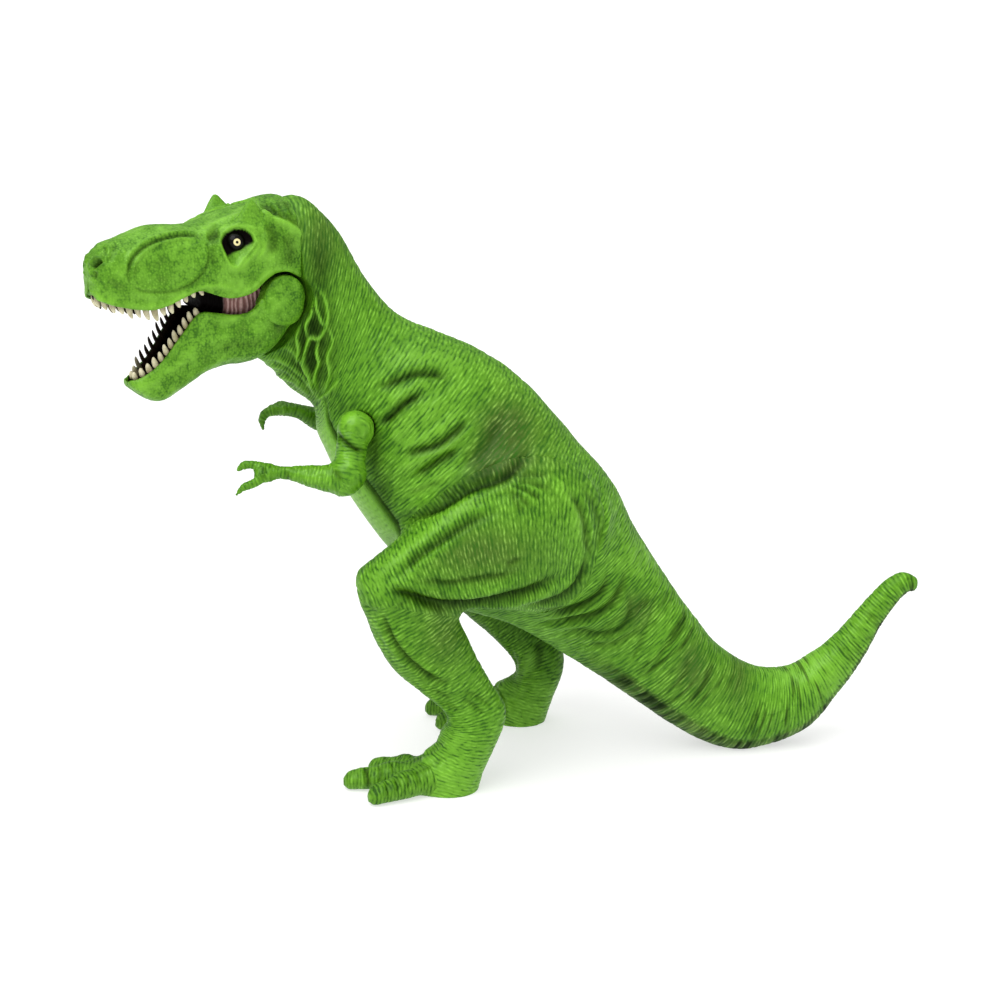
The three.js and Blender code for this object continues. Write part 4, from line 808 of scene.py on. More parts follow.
legFolds += [  # joints of the toes
    ([(366, 763), (367, 776), (370, 790)], 0.8, 0.9, 0.9),
    ([(385, 781), (388, 789), (388, 799)], 0.7, 0.7, 0.6),
    ([(395, 777), (398, 785), (398, 793)], 0.7, 0.6, 0.6),
    ([(405, 773), (409, 781), (409, 790)], 0.7, 0.6, 0.6),
    ([(415, 771), (419, 779), (420, 787)], 0.7, 0.5, 0.5),
    ([(378, 764), (380, 773), (380, 785)], 0.7, 0.5, 0.6),
    ([(391, 762), (393, 768), (394, 774)], 0.7, 0.5, 0.6),
    ([(384, 747), (385, 754), (386, 761)], 0.7, 0.5, 0.6),
    ([(397, 746), (399, 752), (400, 758)], 0.7, 0.5, 0.6),
    ([(410, 745), (412, 751), (414, 757)], 0.7, 0.5, 0.6),
    ([(404, 764), (420, 757), (436, 748), (446, 738)], 0.8, 0.4, 0.5),
    ([(410, 774), (430, 766), (448, 756)], 0.8, 0.4, 0.5),
    ([(447, 752), (456, 742), (463, 730)], 2.2, -0.5, 0.9),
    ([(430, 776), (455, 772), (470, 764)], 2.2, -0.3, 0.6),
]
# Lines of the far leg's inner side, which faces the camera too
farFolds = [
    ([(530, 644), (529, 662), (524, 682), (516, 700)], 1.3, -1.0, 1.0),
    ([(537, 640), (540, 655), (538, 672)], 2.4, 0.8, 0.9),
    ([(509, 648), (514, 660), (513, 674), (510, 690)], 1.2, 0.7, 0.7),
    ([(505, 690), (515, 704), (530, 712)], 1.4, 0.4, 0.4),
    ([(520, 618), (538, 632), (548, 648)], 2.4, 0.3, 0.8),
    ([(500, 676), (497, 690), (503, 702)], 1.0, -0.5, 0.6),
]

# Duller patches of the near side, some the skin's own olive and some painted shade, and brighter
# ones, painted highlight: middle, radii in pixels, strength
bodyPatches = [
    ((506, 430), (30, 36), -1.2), ((490, 464), (30, 15), -0.8), ((548, 455), (26, 34), -0.25),
    ((478, 552), (62, 26), -0.75), ((560, 545), (24, 44), 0.05), ((582, 536), (24, 30), 0.25),
    ((676, 640), (26, 22), 0.25), ((610, 620), (60, 40), -0.15), ((700, 680), (60, 34), -0.3),
    ((445, 634), (24, 32), -0.6), ((425, 420), (44, 26), 0.08), ((380, 586), (20, 12), 0.5),
    ((640, 560), (30, 30), 0.2), ((800, 655), (40, 20), 0.3), ((322, 236), (24, 42), -0.75),
    ((495, 395), (40, 14), 0.15), ((815, 676), (38, 24), 0.6), ((860, 620), (22, 30), 0.25),
    ((638, 608), (14, 20), -0.7), ((692, 658), (16, 30), -0.7), ((740, 672), (12, 35), -0.6),
    ((640, 560), (20, 26), 0.25),
]
# Painted shade in hollows, between the neck's cords and beside the arm, added to the wash: middle,
# radii in pixels, strength
bodyShadows = [
    ((311, 340), (21, 54), 1.15), ((320, 262), (11, 26), 0.55), ((374, 446), (8, 30), 0.7),
    ((382, 494), (11, 26), 0.6), ((292, 372), (24, 14), 0.35), ((470, 480), (44, 11), 0.4),
    ((345, 408), (22, 12), 0.3), ((430, 600), (40, 11), 0.4), ((500, 440), (24, 28), 0.16),
    ((585, 590), (46, 40), 0.06), ((448, 640), (26, 40), 0.14), ((470, 565), (70, 26), 0.1),
]


def patchTone(pixels, patches):
    # the sum of each patch's strength times a bell of the distance from its middle
    tone = np.zeros(pixels.shape[:-1])
    for middle, radii, strength in patches:
        tone += strength * bell(np.linalg.norm((pixels - middle) / radii, axis=-1))
    return np.clip(tone, -1, 1)


# Rear edge of skull, hinge and open jaw, in mm in the head's frame: heights, how far forward it lies
# at each, and the clear radius round the hinge
behindJaw = dict(heights=[-26, -24, -23, -22.6, -20.4, -16.5, -9.4, -3.4, 0],
                 limits=[27, 22, 12, 7.4, 2.4, -1.2, -4.7, -6.9, -6.9], radius=9)


def keepBehindJaw(points):
    # a point that lies forward of that edge goes back to it
    _, forward, up = inHead(points)
    limit = np.interp(up, behindJaw["heights"], behindJaw["limits"])
    arc = -np.sqrt(np.maximum(behindJaw["radius"] ** 2 - up ** 2, 0))
    limit = np.where(np.abs(up) < behindJaw["radius"], np.minimum(limit, arc), limit)
    ahead = (up > behindJaw["heights"][0]) & (forward > limit)
    return points + np.where(ahead, limit - forward, 0)[..., None] * headForward


def carveBall(points, centre, radius):
    # a point inside the ball goes in along its normal to the ball's far side
    n = normalsOf(points)
    d = points - centre
    b, apart = np.sum(d * n, axis=-1), np.sum(d * d, axis=-1)
    inside = apart < radius ** 2
    depth = b + np.sqrt(np.maximum(b * b - apart + radius ** 2, 0))
    return points - np.where(inside, depth, 0)[..., None] * n, inside


shoulders = {
    side: np.array([-0.1717 * figure["length"], out * figure["shoulderSpread"], 0.645 * figure["height"]])
    for side, out in (("left", -0.5), ("right", 0.5))}
shoulderGap = 0.5  # mm between the arm's ball and its hollow


def nearSide(points, normals, lines, patches=bodyPatches):
    # relief, wash with painted shade, and tone with painted highlight, from the photo's lines, on the
    # skin that faces its camera
    pixels = toPicture(points)
    seen = facing(points, normals)
    height, dark, light = lineRelief(pixels, lines)
    dark = np.maximum(dark, patchTone(pixels, bodyShadows) * (1 - np.clip(1.3 * light, 0, 1)))
    return height * seen, dark * seen, (patchTone(pixels, patches) + 0.8 * light) * seen


# Smooth strip along the throat and belly, and the band under the tail, dull and dark as painted
# shade with stripes of wash: where they start, as minus the sine of the turn round the section, how
# far they run, as rows of the trunk's table, and how much longer than wide the bumps are on them
belly = dict(edge=0.71, soft=0.05, rows=(3.0, 8.0), groove=0.9, seamHalf=0.03, tone=0.75, stretch=(2.0, 0.5))
band = dict(edge=0.5, soft=0.14, rows=(11.0, 22.0), tone=-0.7, washAndShade=0.42, stretch=0.5)
# Stripes of wash on the tail: size across, along and of the patches that hold them in mm, the row
# where they start and over how many rows. Lumps under the skin, in mm, and the fillet at the hip.
tail = dict(across=12, along=1.5, patch=14, row=9.5, fade=2)
trunk = dict(lump=9, lumpHeight=0.35, hipFillet=14, longer=([0, 8, 12], [0.8, 0.75, 0.5]))


def trunkPiece(first, last, rows, sides, start=0.0):
    places = evenPlaces(trunkTable, rows, slice(0, 3), first, last)
    loft = trunkLoft(places)
    loft["along"] = loft["along"] + start
    skin = skinOf(loft, sides)
    points, flow = skin["points"], skin["flow"]
    for side in ("left", "right"):
        points = fillet(points, coarseLegs[side]["thigh"], trunk["hipFillet"])
    normals = normalsOf(points)
    isLeft = np.cos(skin["angle"]) < 0
    height, dark, tone = (np.where(isLeft, v, mirrored(v)) for v in nearSide(points, normals, bodyFolds))
    low = -np.sin(skin["angle"])

    def strip(zone):
        # 1 between the two rows and past the edge, 0 elsewhere
        run = np.clip(places - zone["rows"][0], 0, 1) * np.clip(zone["rows"][1] - places, 0, 1)
        return column(run) * np.clip((low - zone["edge"]) / zone["soft"], 0, 1), column(run)

    smooth, run = strip(belly)
    under, _ = strip(band)
    groove = run * bell((low - belly["edge"]) / belly["seamHalf"])
    relief = wrinkleRelief(flow, points) * (1 - 0.85 * smooth)
    lumps = latticeNoise(points / trunk["lump"], 21) * trunk["lumpHeight"]
    height = height * (1 - smooth) + lumps - belly["groove"] * groove + wrinkles["depth"] * relief
    # wash lies in long stripes right across, fainter on the tail's sides; under the tail they lie on
    # painted shade
    stripes = latticeNoise(flow / [tail["across"], tail["across"], tail["along"]], 22)
    patches = np.clip(0.5 + 1.6 * latticeNoise(points / tail["patch"], 23), 0, 1)
    onTail = column(np.clip((places - tail["row"]) / tail["fade"], 0, 1))
    streaks = onTail * patches * np.clip(1.6 * stripes - 0.1, 0, 0.75)
    banded = under * np.clip(band["washAndShade"] + 0.9 * stripes, 0, 1)
    dark = np.maximum.reduce([dark, banded, streaks]) * (1 - smooth)
    # the belly strip's edge groove is darkened: wash and painted shade
    dark = np.maximum(dark, 0.9 * groove)
    tone = tone * (1 - smooth) + belly["tone"] * smooth + band["tone"] * under
    # the ridges run lengthwise on the strip, and right across on the band
    wider = 1 + (belly["stretch"][0] - 1) * smooth + (band["stretch"] - 1) * under
    across = column(np.interp(places, *trunk["longer"])) * wider
    ahead = 1 + (belly["stretch"][1] - 1) * smooth
    flow = flow * np.stack([across, across, ahead], axis=-1)
    return dict(points=points + height[..., None] * normals, flow=flow,
                relief=relief, crease=dark, tone=tone, along=loft["along"])


print("torso")
torsoSkin = trunkPiece(0, seamRow + 0.04, 430, 200)
torsoSkin["points"] = keepBehindJaw(torsoSkin["points"])
for centre in shoulders.values():
    radius = figure["shoulderRadius"] + shoulderGap
    torsoSkin["points"], hollow = carveBall(torsoSkin["points"], centre, radius)
    # the hollow round each arm's ball is made fully dark: painted shade
    torsoSkin["crease"] = np.where(hollow, 1, torsoSkin["crease"])
addPiece("torso_skin", [torsoSkin], "figure", ["torso"], bodySkin)

print("tail")
tailSkin = trunkPiece(seamRow - 0.05, len(trunkTable) - 1, 430, 150, torsoSkin["along"][-1])
tailSkin["points"][..., 2] = np.maximum(tailSkin["points"][..., 2], 0)
addPiece("tail_skin", [tailSkin], "figure", ["tail"], bodySkin)

# Parts of a leg: points round a section, size of the wrinkles and share of their depth, the least
# wash and painted shade, and on the foot how much of them is shed and the tone
legParts = dict(
    thigh=dict(sides=150, scale=1.0, depth=1.0, washAndShade=0, shed=0.6, tone=0.45),
    shin=dict(sides=110, scale=1.0, depth=1.0, washAndShade=0, shed=0.6, tone=0.45),
    toe=dict(sides=60, scale=0.8, depth=0.6, washAndShade=0.3, shed=0, tone=0.32),
)
legFillets = dict(hip=14, knee=8, ankle=5, toes=2)  # reach in mm


def legPiece(name, leg, key, nearRelief=None):
    lofts, coarse = legLofts(leg, 230, 200, 90), coarseLegs[key]
    knee, ankle = legFillets["knee"], legFillets["ankle"]
    parts = [("thigh", lofts["thigh"], [(wholeTrunk, legFillets["hip"]), (coarse["shin"], knee)]),
             ("shin", lofts["shin"], [(coarse["thigh"], knee), *[(toe, ankle) for toe in coarse["toes"]]])]
    for i, toe in enumerate(lofts["toes"]):
        others = [(other, legFillets["toes"]) for j, other in enumerate(coarse["toes"]) if j != i]
        parts.append(("toe", toe, [(coarse["shin"], ankle), *others]))
    shells, kept = [], []
    for i, (kind, loft, others) in enumerate(parts):
        part = legParts[kind]
        skin = skinOf(loft, part["sides"])
        points = skin["points"]
        for other, reach in others:
            points = fillet(points, other, reach)
        normals = normalsOf(points)
        if nearRelief is None:
            kept.append(nearSide(points, normals, legFolds))
            height, dark, tone = kept[-1]
        else:
            own = nearSide(points, normals, farFolds, [])
            height, dark, tone = (mirrored(near) + far for near, far in zip(nearRelief[i], own))
        relief = wrinkleRelief(skin["flow"], points, part["scale"])
        points = points + (height + wrinkles["depth"] * part["depth"] * relief)[..., None] * normals
        points[..., 2] = np.maximum(points[..., 2], 0)
        foot = np.clip(1.3 - points[..., 2] / 28, 0, 1)  # 1 up to 8 mm, 0 from 36 mm
        crease = np.maximum(dark, max(part["washAndShade"], leg["washAndShade"])) * (1 - part["shed"] * foot)
        tone = (tone - 0.12) * (1 - foot) + part["tone"] * foot
        shells.append(dict(points=points, flow=skin["flow"], relief=relief, crease=crease, tone=tone))
    addPiece(name, shells, "figure", [key + "_leg"], bodySkin)
    return kept


print("legs")
nearRelief = legPiece("left_leg_skin", leftLeg, "left")
legPiece("right_leg_skin", rightLeg, "right", nearRelief)

# Head: a hollow skin. Rows: forward, top, bottom, half width, height of the widest line

headScale = [figure[key] for key in ("headLength", "headHeight", "headHeight", "headWidth", "headHeight")]
head = dict(
    skull=np.array([
        [-0.09, 0.995, 0.04, 0.465, 0.5], [-0.02, 0.98, 0, 0.497, 0.42], [0.04, 0.93, 0.02, 0.505, 0.4],
        [0.1, 0.905, 0.04, 0.505, 0.38], [0.2, 0.865, 0.06, 0.475, 0.36], [0.3, 0.79, 0.115, 0.438, 0.36],
        [0.39, 0.775, 0.165, 0.4, 0.36], [0.47, 0.79, 0.11, 0.367, 0.34], [0.55, 0.795, 0.04, 0.34, 0.31],
        [0.63, 0.755, 0.01, 0.318, 0.29], [0.715, 0.7, 0.035, 0.292, 0.29], [0.775, 0.655, 0.105, 0.26, 0.32],
        [0.815, 0.585, 0.165, 0.218, 0.36], [0.842, 0.49, 0.24, 0.14, 0.38], [0.85, 0.43, 0.33, 0.05, 0.38],
    ]) * headScale,
    # lower edge of lip, cheek and hinge arch: forward and height in mm; then the palate's height as a
    # share of the head's, by forward
    lip=[[-6.6, 6.0], [-5, 7.0], [-2.5, 8.4], [0, 8.9], [3, 8.5], [6, 7.1], [8.2, 5.4], [10.5, 3.6],
         [13, 2.4], [15.5, 1.9], [18.4, 1.7], [21, 2.1], [24, 3.2], [27, 4.4], [29, 5.0], [31, 4.9],
         [33, 4.2], [36, 2.9], [40, 1.3], [45.5, 0.35], [51, 1.1], [56, 2.5], [59.4, 3.6], [61.4, 4.6],
         [62.05, 6.4]],
    palate=[[-6.6, 0], [-4, 0.12], [8.8, 0.2], [14.6, 0.27], [20.4, 0.33], [26.3, 0.37], [32, 0.37],
            [38, 0.34], [44, 0.3], [49, 0.27], [53.5, 0.26], [57, 0.25], [58.3, 0]],
    # how the hollow skin is drawn: sections, points of one side, shares of them for the inside, the rim
    # and the cheek, the superellipses' powers, and how far up the rim, as a share, the inside ends and
    # over how many points
    rows=330, half=120, shares=(0.26, 0.08, 0.2), innerPower=3, outerPower=2.5, border=(0.5, 3),
    bulge=lambda t: 1 - 0.05 * (1 - t) ** 2,  # width of the cheek from the lip to the widest line
    lipWall=1.3, tone=0.26, paintEnd=59.8,  # forward of this the inside isn't painted
)
# The ball's place as shares of the head, its radius in mm, the share of that by which it is sunk, and
# the direction of its gaze to the side, forward and up, with the iris's inner and outer edge in
# degrees from there. The socket's middle and radii in pixels, how far its point drops, narrows and
# leans over so many pixels of fall, its depth and rim in mm, and the line that its black ends on.
eye = dict(
    forward=0.211, up=0.594, side=0.425, radius=3.4, sunk=0.72, gaze=(1, 0.25, 0.12), iris=(7, 20),
    socket=(237.6, 242.5), radii=(16.3, 13.8), drop=8, narrow=0.4, lean=3, fall=20, depth=1.7, rim=0.5,
    floor=(229, 255.8, 0.55),
)
# Scales of the head and jaw: size and height in mm of the pebbles and of the lumps under them, and
# strength, size in mm and random seed of the cloudy patches of tone
pebbles = dict(size=0.9, height=0.1, lump=3.5, lumpHeight=0.15, clouds=((0.45, 4.2, 33), (0.35, 1.7, 34)))


def lipHeight(forward):
    lip = np.array(head["lip"])
    places = np.interp(forward, lip[:, 0], np.arange(len(lip)))
    return curveThrough(lip, np.atleast_1d(places))[:, 1]


def hollowSkin(forward, width, wide, roll, rim, inner, outer, upward, shape):
    # One side of each section, from the middle of the inside to the middle of the outside: a quarter
    # superellipse to the rim, a half circle of radius roll round it, a bulging side down or up to the
    # widest line, and another quarter. Then the other side, as its mirror image.
    counts = [int(shape["half"] * share) for share in shape["shares"]]
    counts.append(shape["half"] + 1 - sum(counts))
    t = np.linspace(0, 1, counts[2], endpoint=False)
    bulge = shape["bulge"](t)
    edge = width * bulge[0]
    c, h = superellipse(np.radians(np.linspace(90, 0, counts[0])), shape["innerPower"])
    parts = [(column(edge - 2 * roll) * c, column(rim) + column(inner - rim) * h)]
    turn = np.radians(np.linspace(180, 0, counts[1] + 2)[1:-1])
    parts.append((column(edge - roll) + column(roll) * np.cos(turn),
                  column(rim) + upward * column(roll) * np.sin(turn)))
    parts.append((column(width) * bulge, column(rim) + t * column(wide - rim)))
    c, h = superellipse(np.radians(np.linspace(0, 90, counts[3])), shape["outerPower"])
    parts.append((column(width) * c, column(wide) + column(outer - wide) * h))
    x, y = (np.concatenate(values, axis=1) for values in zip(*parts))
    x = np.concatenate([x, -x[:, -2:0:-1]], axis=1)
    y = np.concatenate([y, y[:, -2:0:-1]], axis=1)
    z = np.broadcast_to(column(forward), x.shape)
    ring = np.arange(x.shape[1])
    folded = np.minimum(ring, len(ring) - ring)
    border, soft = shape["border"]
    inside = np.clip((counts[0] + border * counts[1] - folded) / soft + 0.5, 0, 1) * np.ones_like(x)
    return dict(points=headPoints(x, z, y), flow=np.stack([x, y, z], axis=-1), inside=inside,
                left=ring < shape["half"])


def headSkin():
    rows = curveThrough(head["skull"], evenPlaces(head["skull"], head["rows"], [0, 3]))
    forward, top, _, width, wide = rows.T
    roll = np.minimum(head["lipWall"] / 2, 0.3 * width)
    rim = np.minimum(lipHeight(forward), wide - 1) + roll
    hollow = figure["headHeight"] * np.interp(forward, *np.array(head["palate"]).T)
    return hollowSkin(forward, width, wide, roll, rim, np.maximum(hollow, rim + 0.6), top, -1, head)


headLines = [  # as bodyFolds
    ([(130, 283), (128.5, 272), (132, 260), (140, 250.5), (152, 243), (167, 238), (183, 235.5),
      (196, 236), (205, 240)], 0.55, 0.6, 0.75),
    ([(205, 240), (209, 249), (209, 260), (205, 270), (198, 279), (186, 287), (170, 292), (150, 292),
      (138, 290), (130, 283)], 0.55, 0.4, 0.45),
    ([(134, 284), (132.5, 273), (136, 262.5), (143, 254), (154, 246.5), (167, 242), (182, 239),
      (195, 240)], 0.55, -0.4, 0.35),
    ([(125, 266), (129, 254), (138, 245), (150, 238), (166, 233), (184, 231),
      (200, 232)], 0.6, -0.35, 0.3),
    ([(92, 268.5), (97, 264), (102, 260)], 0.75, 1.5, 1.0),
    ([(94, 271), (95.5, 275), (94, 279)], 0.7, 0.7, 0.6),
    ([(100, 258), (105, 252), (103, 246)], 0.8, 0.3, 0.35),
    ([(118, 243), (112, 252), (109, 262)], 0.9, 0.3, 0.3),
    ([(207, 238), (213, 236), (220, 233)], 1.5, 0.9, 0.8),
    ([(214, 247), (212, 256), (215, 266)], 1.3, 0.3, 0.35),
    ([(206, 229), (217, 223.5), (229, 219), (242, 216), (256, 214)], 1.0, -0.8, 0.6),
    ([(216, 241), (220, 231), (229, 226), (241, 225), (252, 228), (258, 236)], 0.65, -0.6, 0.7),
    ([(258, 236), (258, 248), (251, 258), (243, 265), (236, 269), (229, 266),
      (223, 257)], 0.9, -0.55, 0.6),
    ([(259, 198), (258, 205), (259, 211), (262, 213), (274, 220), (290, 227), (302, 236), (305, 247),
      (307, 260), (307, 284)], 1.0, -1.1, 0.85),
    ([(264, 200), (267, 208), (279, 214), (294, 221), (304, 231)], 0.9, 0.7, 0.7),
    ([(268, 224), (274, 237), (272, 254)], 2.0, 0.4, 0.6),
    ([(282, 234), (290, 248), (289, 266)], 2.0, 0.3, 0.5),
    ([(262, 222), (266, 234), (265, 248), (259, 260)], 1.1, -0.5, 0.45),
    ([(85, 288), (101, 299), (114, 303.5), (131, 306), (149, 307.5), (167, 304), (185, 295.5),
      (200, 287.5), (217, 286.5), (230, 288.5), (241, 292.5)], 0.95, -0.55, 0.6),
    ([(241, 292.5), (250, 289), (259, 281), (266, 275), (275, 270), (286, 269), (298, 273),
      (305, 278)], 0.9, -0.5, 0.6),
    ([(268, 203), (272, 210), (274, 216)], 0.7, 0.4, 0.5),
    ([(276, 202), (281, 209), (284, 218)], 0.7, 0.4, 0.5),
    ([(284, 202), (290, 210), (294, 221)], 0.7, 0.4, 0.5),
    ([(292, 203), (299, 212), (303, 226)], 0.7, 0.4, 0.5),
]
# Patches of tone on the head: middle, radii in pixels, strength; the brighter ones are painted highlight
headPatches = [
    ((284, 207), (20, 9), -0.6), ((278, 243), (9, 14), -0.2), ((291, 247), (8, 14), -0.15),
    ((270, 263), (22, 12), 0.3), ((160, 262), (36, 20), -0.15), ((213, 255), (6, 14), -0.35),
    ((105, 268), (14, 18), -0.2), ((235, 283), (22, 7), 0.3), ((150, 296), (50, 7), 0.3),
    ((150, 228), (50, 6), 0.25), ((235, 219), (20, 5), 0.05),
]


def socketShape(pixels):
    # an ellipse that draws out to a point below: 0 at its middle, 1 on its rim
    x, y = (pixels[..., i] - eye["socket"][i] for i in (0, 1))
    low = np.clip(y / eye["fall"], 0, 1)
    wide = eye["radii"][0] * (1 - eye["narrow"] * low)
    high = eye["radii"][1] + eye["drop"] * low
    return np.hypot((x + eye["lean"] * low) / wide, y / high)


def mottled(points):
    # cloudy tone: noise in patches of two sizes
    return sum(share * latticeNoise(points / size, seed) for share, size, seed in pebbles["clouds"])


def pebbled(points, seed):
    # round scales: their height in mm, that of the lumps under them, and the relief for the shader
    pebble = np.abs(latticeNoise(points / pebbles["size"], seed))
    lumps = pebbles["lumpHeight"] * latticeNoise(points / pebbles["lump"], seed + 1)
    return pebbles["height"] * pebble, lumps, 1.2 * pebble - 0.4


def headLoft(rows, count, corner):
    # a solid loft along the head: from the rows' forward, top, bottom, half width and widest line
    forward, top, bottom, width, wide = curveThrough(rows, evenPlaces(rows, count, [0])).T
    centre = headPoints(0 * wide, forward, wide)
    return loftOf(centre, headLeft, headUp, width, top - wide, wide - bottom, corner)


# Horns: rows of forward, up, out, half length and width as shares of the head
horns = dict(fillet=3, tone=0.35, rows=np.array([
    [0.115, 0.72, 0.34, 0.1, 0.16], [0.12, 0.86, 0.35, 0.06, 0.11], [0.122, 0.94, 0.36, 0.033, 0.07],
    [0.123, 0.985, 0.363, 0.016, 0.04], [0.124, 1.0, 0.365, 0.006, 0.02],
]) * [figure[key] for key in ("headLength", "headHeight", "headWidth", "headLength", "headWidth")])


def hornLoft(side):
    rows = curveThrough(horns["rows"], np.linspace(0, len(horns["rows"]) - 1, 50))
    forward, up, left, length, width = rows.T
    return loftOf(headPoints(side * left, forward, up), headLeft, headForward, width / 2, length, length)


print("head")
skin = headSkin()
outside = 1 - skin["inside"]
points = skin["points"]
for side in (1, -1):
    points = fillet(points, hornLoft(side), horns["fillet"], mask=outside)
normals = normalsOf(points)
seen = facing(points, normals) * outside
pixels = toPicture(points)
height, dark, light = lineRelief(pixels, headLines)
inSocket = socketShape(pixels)
height = height - eye["depth"] * np.clip(1 - inSocket ** 2, 0, 1) ** 0.6
height = height + eye["rim"] * bell((inSocket - 1.13) / 0.09)
tone = head["tone"] + mottled(points) + patchTone(pixels, headPatches) + 0.8 * light
# a painted highlight on the socket's rim
tone = tone + 0.7 * bell((inSocket - 1.12) / 0.08)  # the rim catches light
under = eye["floor"][1] - eye["floor"][2] * (pixels[..., 0] - eye["floor"][0])
black = np.clip((0.98 - inSocket) / 0.05 + 0.5, 0, 1) * np.clip((under - pixels[..., 1]) / 3 + 0.5, 0, 1)
height, dark, black, tone = (
    np.where(skin["left"], v * seen, mirrored(v * seen)) for v in (height, dark, black, tone))
scales, lumps, relief = pebbled(points, 31)
height = height + outside * (scales + lumps)
lining = skin["inside"] * np.clip((head["paintEnd"] - skin["flow"][..., 2]) / 0.8, 0, 1)
headShells = [dict(points=points + height[..., None] * normals, flow=skin["flow"], relief=relief,
                   crease=dark * outside, tone=tone * outside, paint=np.maximum(black, lining))]
for side in (1, -1):
    shell = skinOf(hornLoft(side), 40)
    shell["points"] = fillet(shell["points"], headLoft(head["skull"], 50, 2.5), horns["fillet"])
    headShells.append(dict(points=shell["points"], flow=shell["flow"], tone=horns["tone"]))
addPiece("head_skin", headShells, "figure", ["head"], headVinyl)

# Eyes: glossy black balls with a small cream iris


def ballLoft(centre, radius, pole, across, rise, turn):
    # rings of latitude: centre + radius * cos(turn) * pole, of radius * sin(turn)
    size = radius * np.sin(turn)
    return loftOf(centre + radius * column(np.cos(turn)) * pole, across, rise, size, size, size)


def eyePiece(name, side):
    # the ball's pole is the direction that it looks in
    out = eye["side"] * figure["headWidth"] - eye["sunk"] * eye["radius"]
    centre = headPoints(side * out, eye["forward"] * figure["headLength"], eye["up"] * figure["headHeight"])
    left, forward, up = eye["gaze"]
    gaze = unit(side * left * headLeft + forward * headForward + up * headUp)
    across = unit(np.cross(gaze, headUp))
    turn = np.radians(np.linspace(0.5, 179.5, 60))
    shell = skinOf(ballLoft(centre, eye["radius"], gaze, across, np.cross(across, gaze), turn), 48)
    degrees = column(np.degrees(turn)) + 0 * shell["flow"][..., 0]
    pupil, rim = eye["iris"]
    shell["paint"] = np.clip((rim - degrees) / 1.5, 0, 1) * np.clip((degrees - pupil) / 1.5, 0, 1)
    addPiece(name, [shell], "figure", [name], eyePaint)


eyePiece("left_eye", 1)
eyePiece("right_eye", -1)

# Lower jaw: a trough with a round boss at each side of the hinge. Rows as the skull's.

jawScale = [figure[key] for key in ("jawLength", "jawHeight", "jawHeight", "jawWidth", "jawHeight")]
jaw = dict(
    rows=np.array([
        [-0.07, -0.1, -0.3, 0.44, -0.2], [0.0, 0, -0.52, 0.46, -0.25], [0.07, 0.03, -0.64, 0.47, -0.3],
        [0.16, -0.06, -0.71, 0.46, -0.35], [0.24, -0.14, -0.73, 0.42, -0.35],
        [0.33, -0.14, -0.725, 0.385, -0.35], [0.43, -0.1, -0.76, 0.352, -0.37],
        [0.52, -0.1, -0.83, 0.32, -0.42], [0.62, -0.3, -0.93, 0.27, -0.57],
        [0.74, -0.55, -1.03, 0.232, -0.76], [0.82, -0.67, -1.0, 0.205, -0.82],
        [0.895, -0.745, -0.9, 0.155, -0.82], [0.935, -0.76, -0.84, 0.09, -0.8],
    ]) * jawScale,
    # height of the trough's floor, as forward and height in mm
    floor=[[-14, -13.3], [5.5, -14], [13.2, -14.3], [18.2, -15.5], [23.7, -17], [28.6, -17.4], [34.1, -20.8],
           [40.7, -24.8], [45.1, -25.9], [48.1, -25.4]],
    chin=47,  # forward of this the floor rises to the lip
    # the boss: its radius, where it starts, where its edge starts to round and where it ends, in mm
    boss=7.5, bossAlong=(12.3, 16.2, 18.5), bossCorner=2.6, bossFillets=(5, 7),
    lipWall=2.0, count=300, half=110, shares=(0.3, 0.08, 0.22), innerPower=3, outerPower=2.6, border=(0.4, 2),
    bulge=lambda t: 0.97 + 0.03 * t ** 0.7,  # width of the side from the rim to the widest line
    tone=0.22, paintEnd=50.4,  # forward of this the inside isn't painted
)


def jawSkin():
    rows = curveThrough(jaw["rows"], evenPlaces(jaw["rows"], jaw["count"], [0, 2, 3]))
    forward, top, bottom, width, wide = rows.T
    wide = np.minimum(wide, top - 1.2)
    roll = np.minimum(jaw["lipWall"] / 2, 0.22 * width)
    rim = top - roll
    floor = np.minimum(np.interp(forward, *np.array(jaw["floor"]).T), rim - 0.5)
    floor = np.maximum(floor, bottom + 2)
    floor = np.where(forward > jaw["chin"], np.maximum(floor, rim - 0.8), floor)
    skin = hollowSkin(forward, width, wide, roll, rim, floor, bottom, 1, jaw)
    # at the rear the inside is drawn onto the outside, so that the trough stays open
    points = skin["points"]
    sides = points.shape[1]
    opposite = (jaw["half"] - np.arange(sides)) % sides
    pinch = np.clip(1 - np.arange(len(forward)) / 6, 0, 1)[:, None, None] ** 2
    skin["points"] = points * (1 - pinch) + pinch * 0.5 * (points + points[:, opposite])
    return skin


def bossLoft(side):
    # a disc along the hinge with a rounded outer edge: radius * (1 - s^corner)^(1 / corner)
    start, edge, stop = jaw["bossAlong"]
    rounding = edge + (stop - edge) * np.sin(np.radians(np.linspace(4, 89, 26)))
    along = np.concatenate([[start], np.linspace(start + 0.4, edge, 16), rounding])
    s = np.clip((along - edge) / (stop - edge), 0, 1)
    radius = jaw["boss"] * (1 - s ** jaw["bossCorner"]) ** (1 / jaw["bossCorner"])
    radius[0] = 0.9 * jaw["boss"]
    return loftOf(headPoints(side * along, 0 * along, 0 * along), headForward, headUp, radius, radius, radius)


jawLines = [  # as bodyFolds
    ([(204, 318), (228, 320), (250, 315), (260, 307), (266, 293), (275, 284)], 1.1, -0.6, 0.5),
    ([(140, 386), (160, 378), (182, 362), (200, 346), (214, 340), (236, 345)], 1.6, -0.5, 0.35),
    ([(216, 352), (232, 346), (250, 345), (266, 340)], 1.6, 0.4, 0.35),
    ([(278, 292), (284, 305), (279, 322), (268, 334)], 2.0, 0.4, 0.4),
]
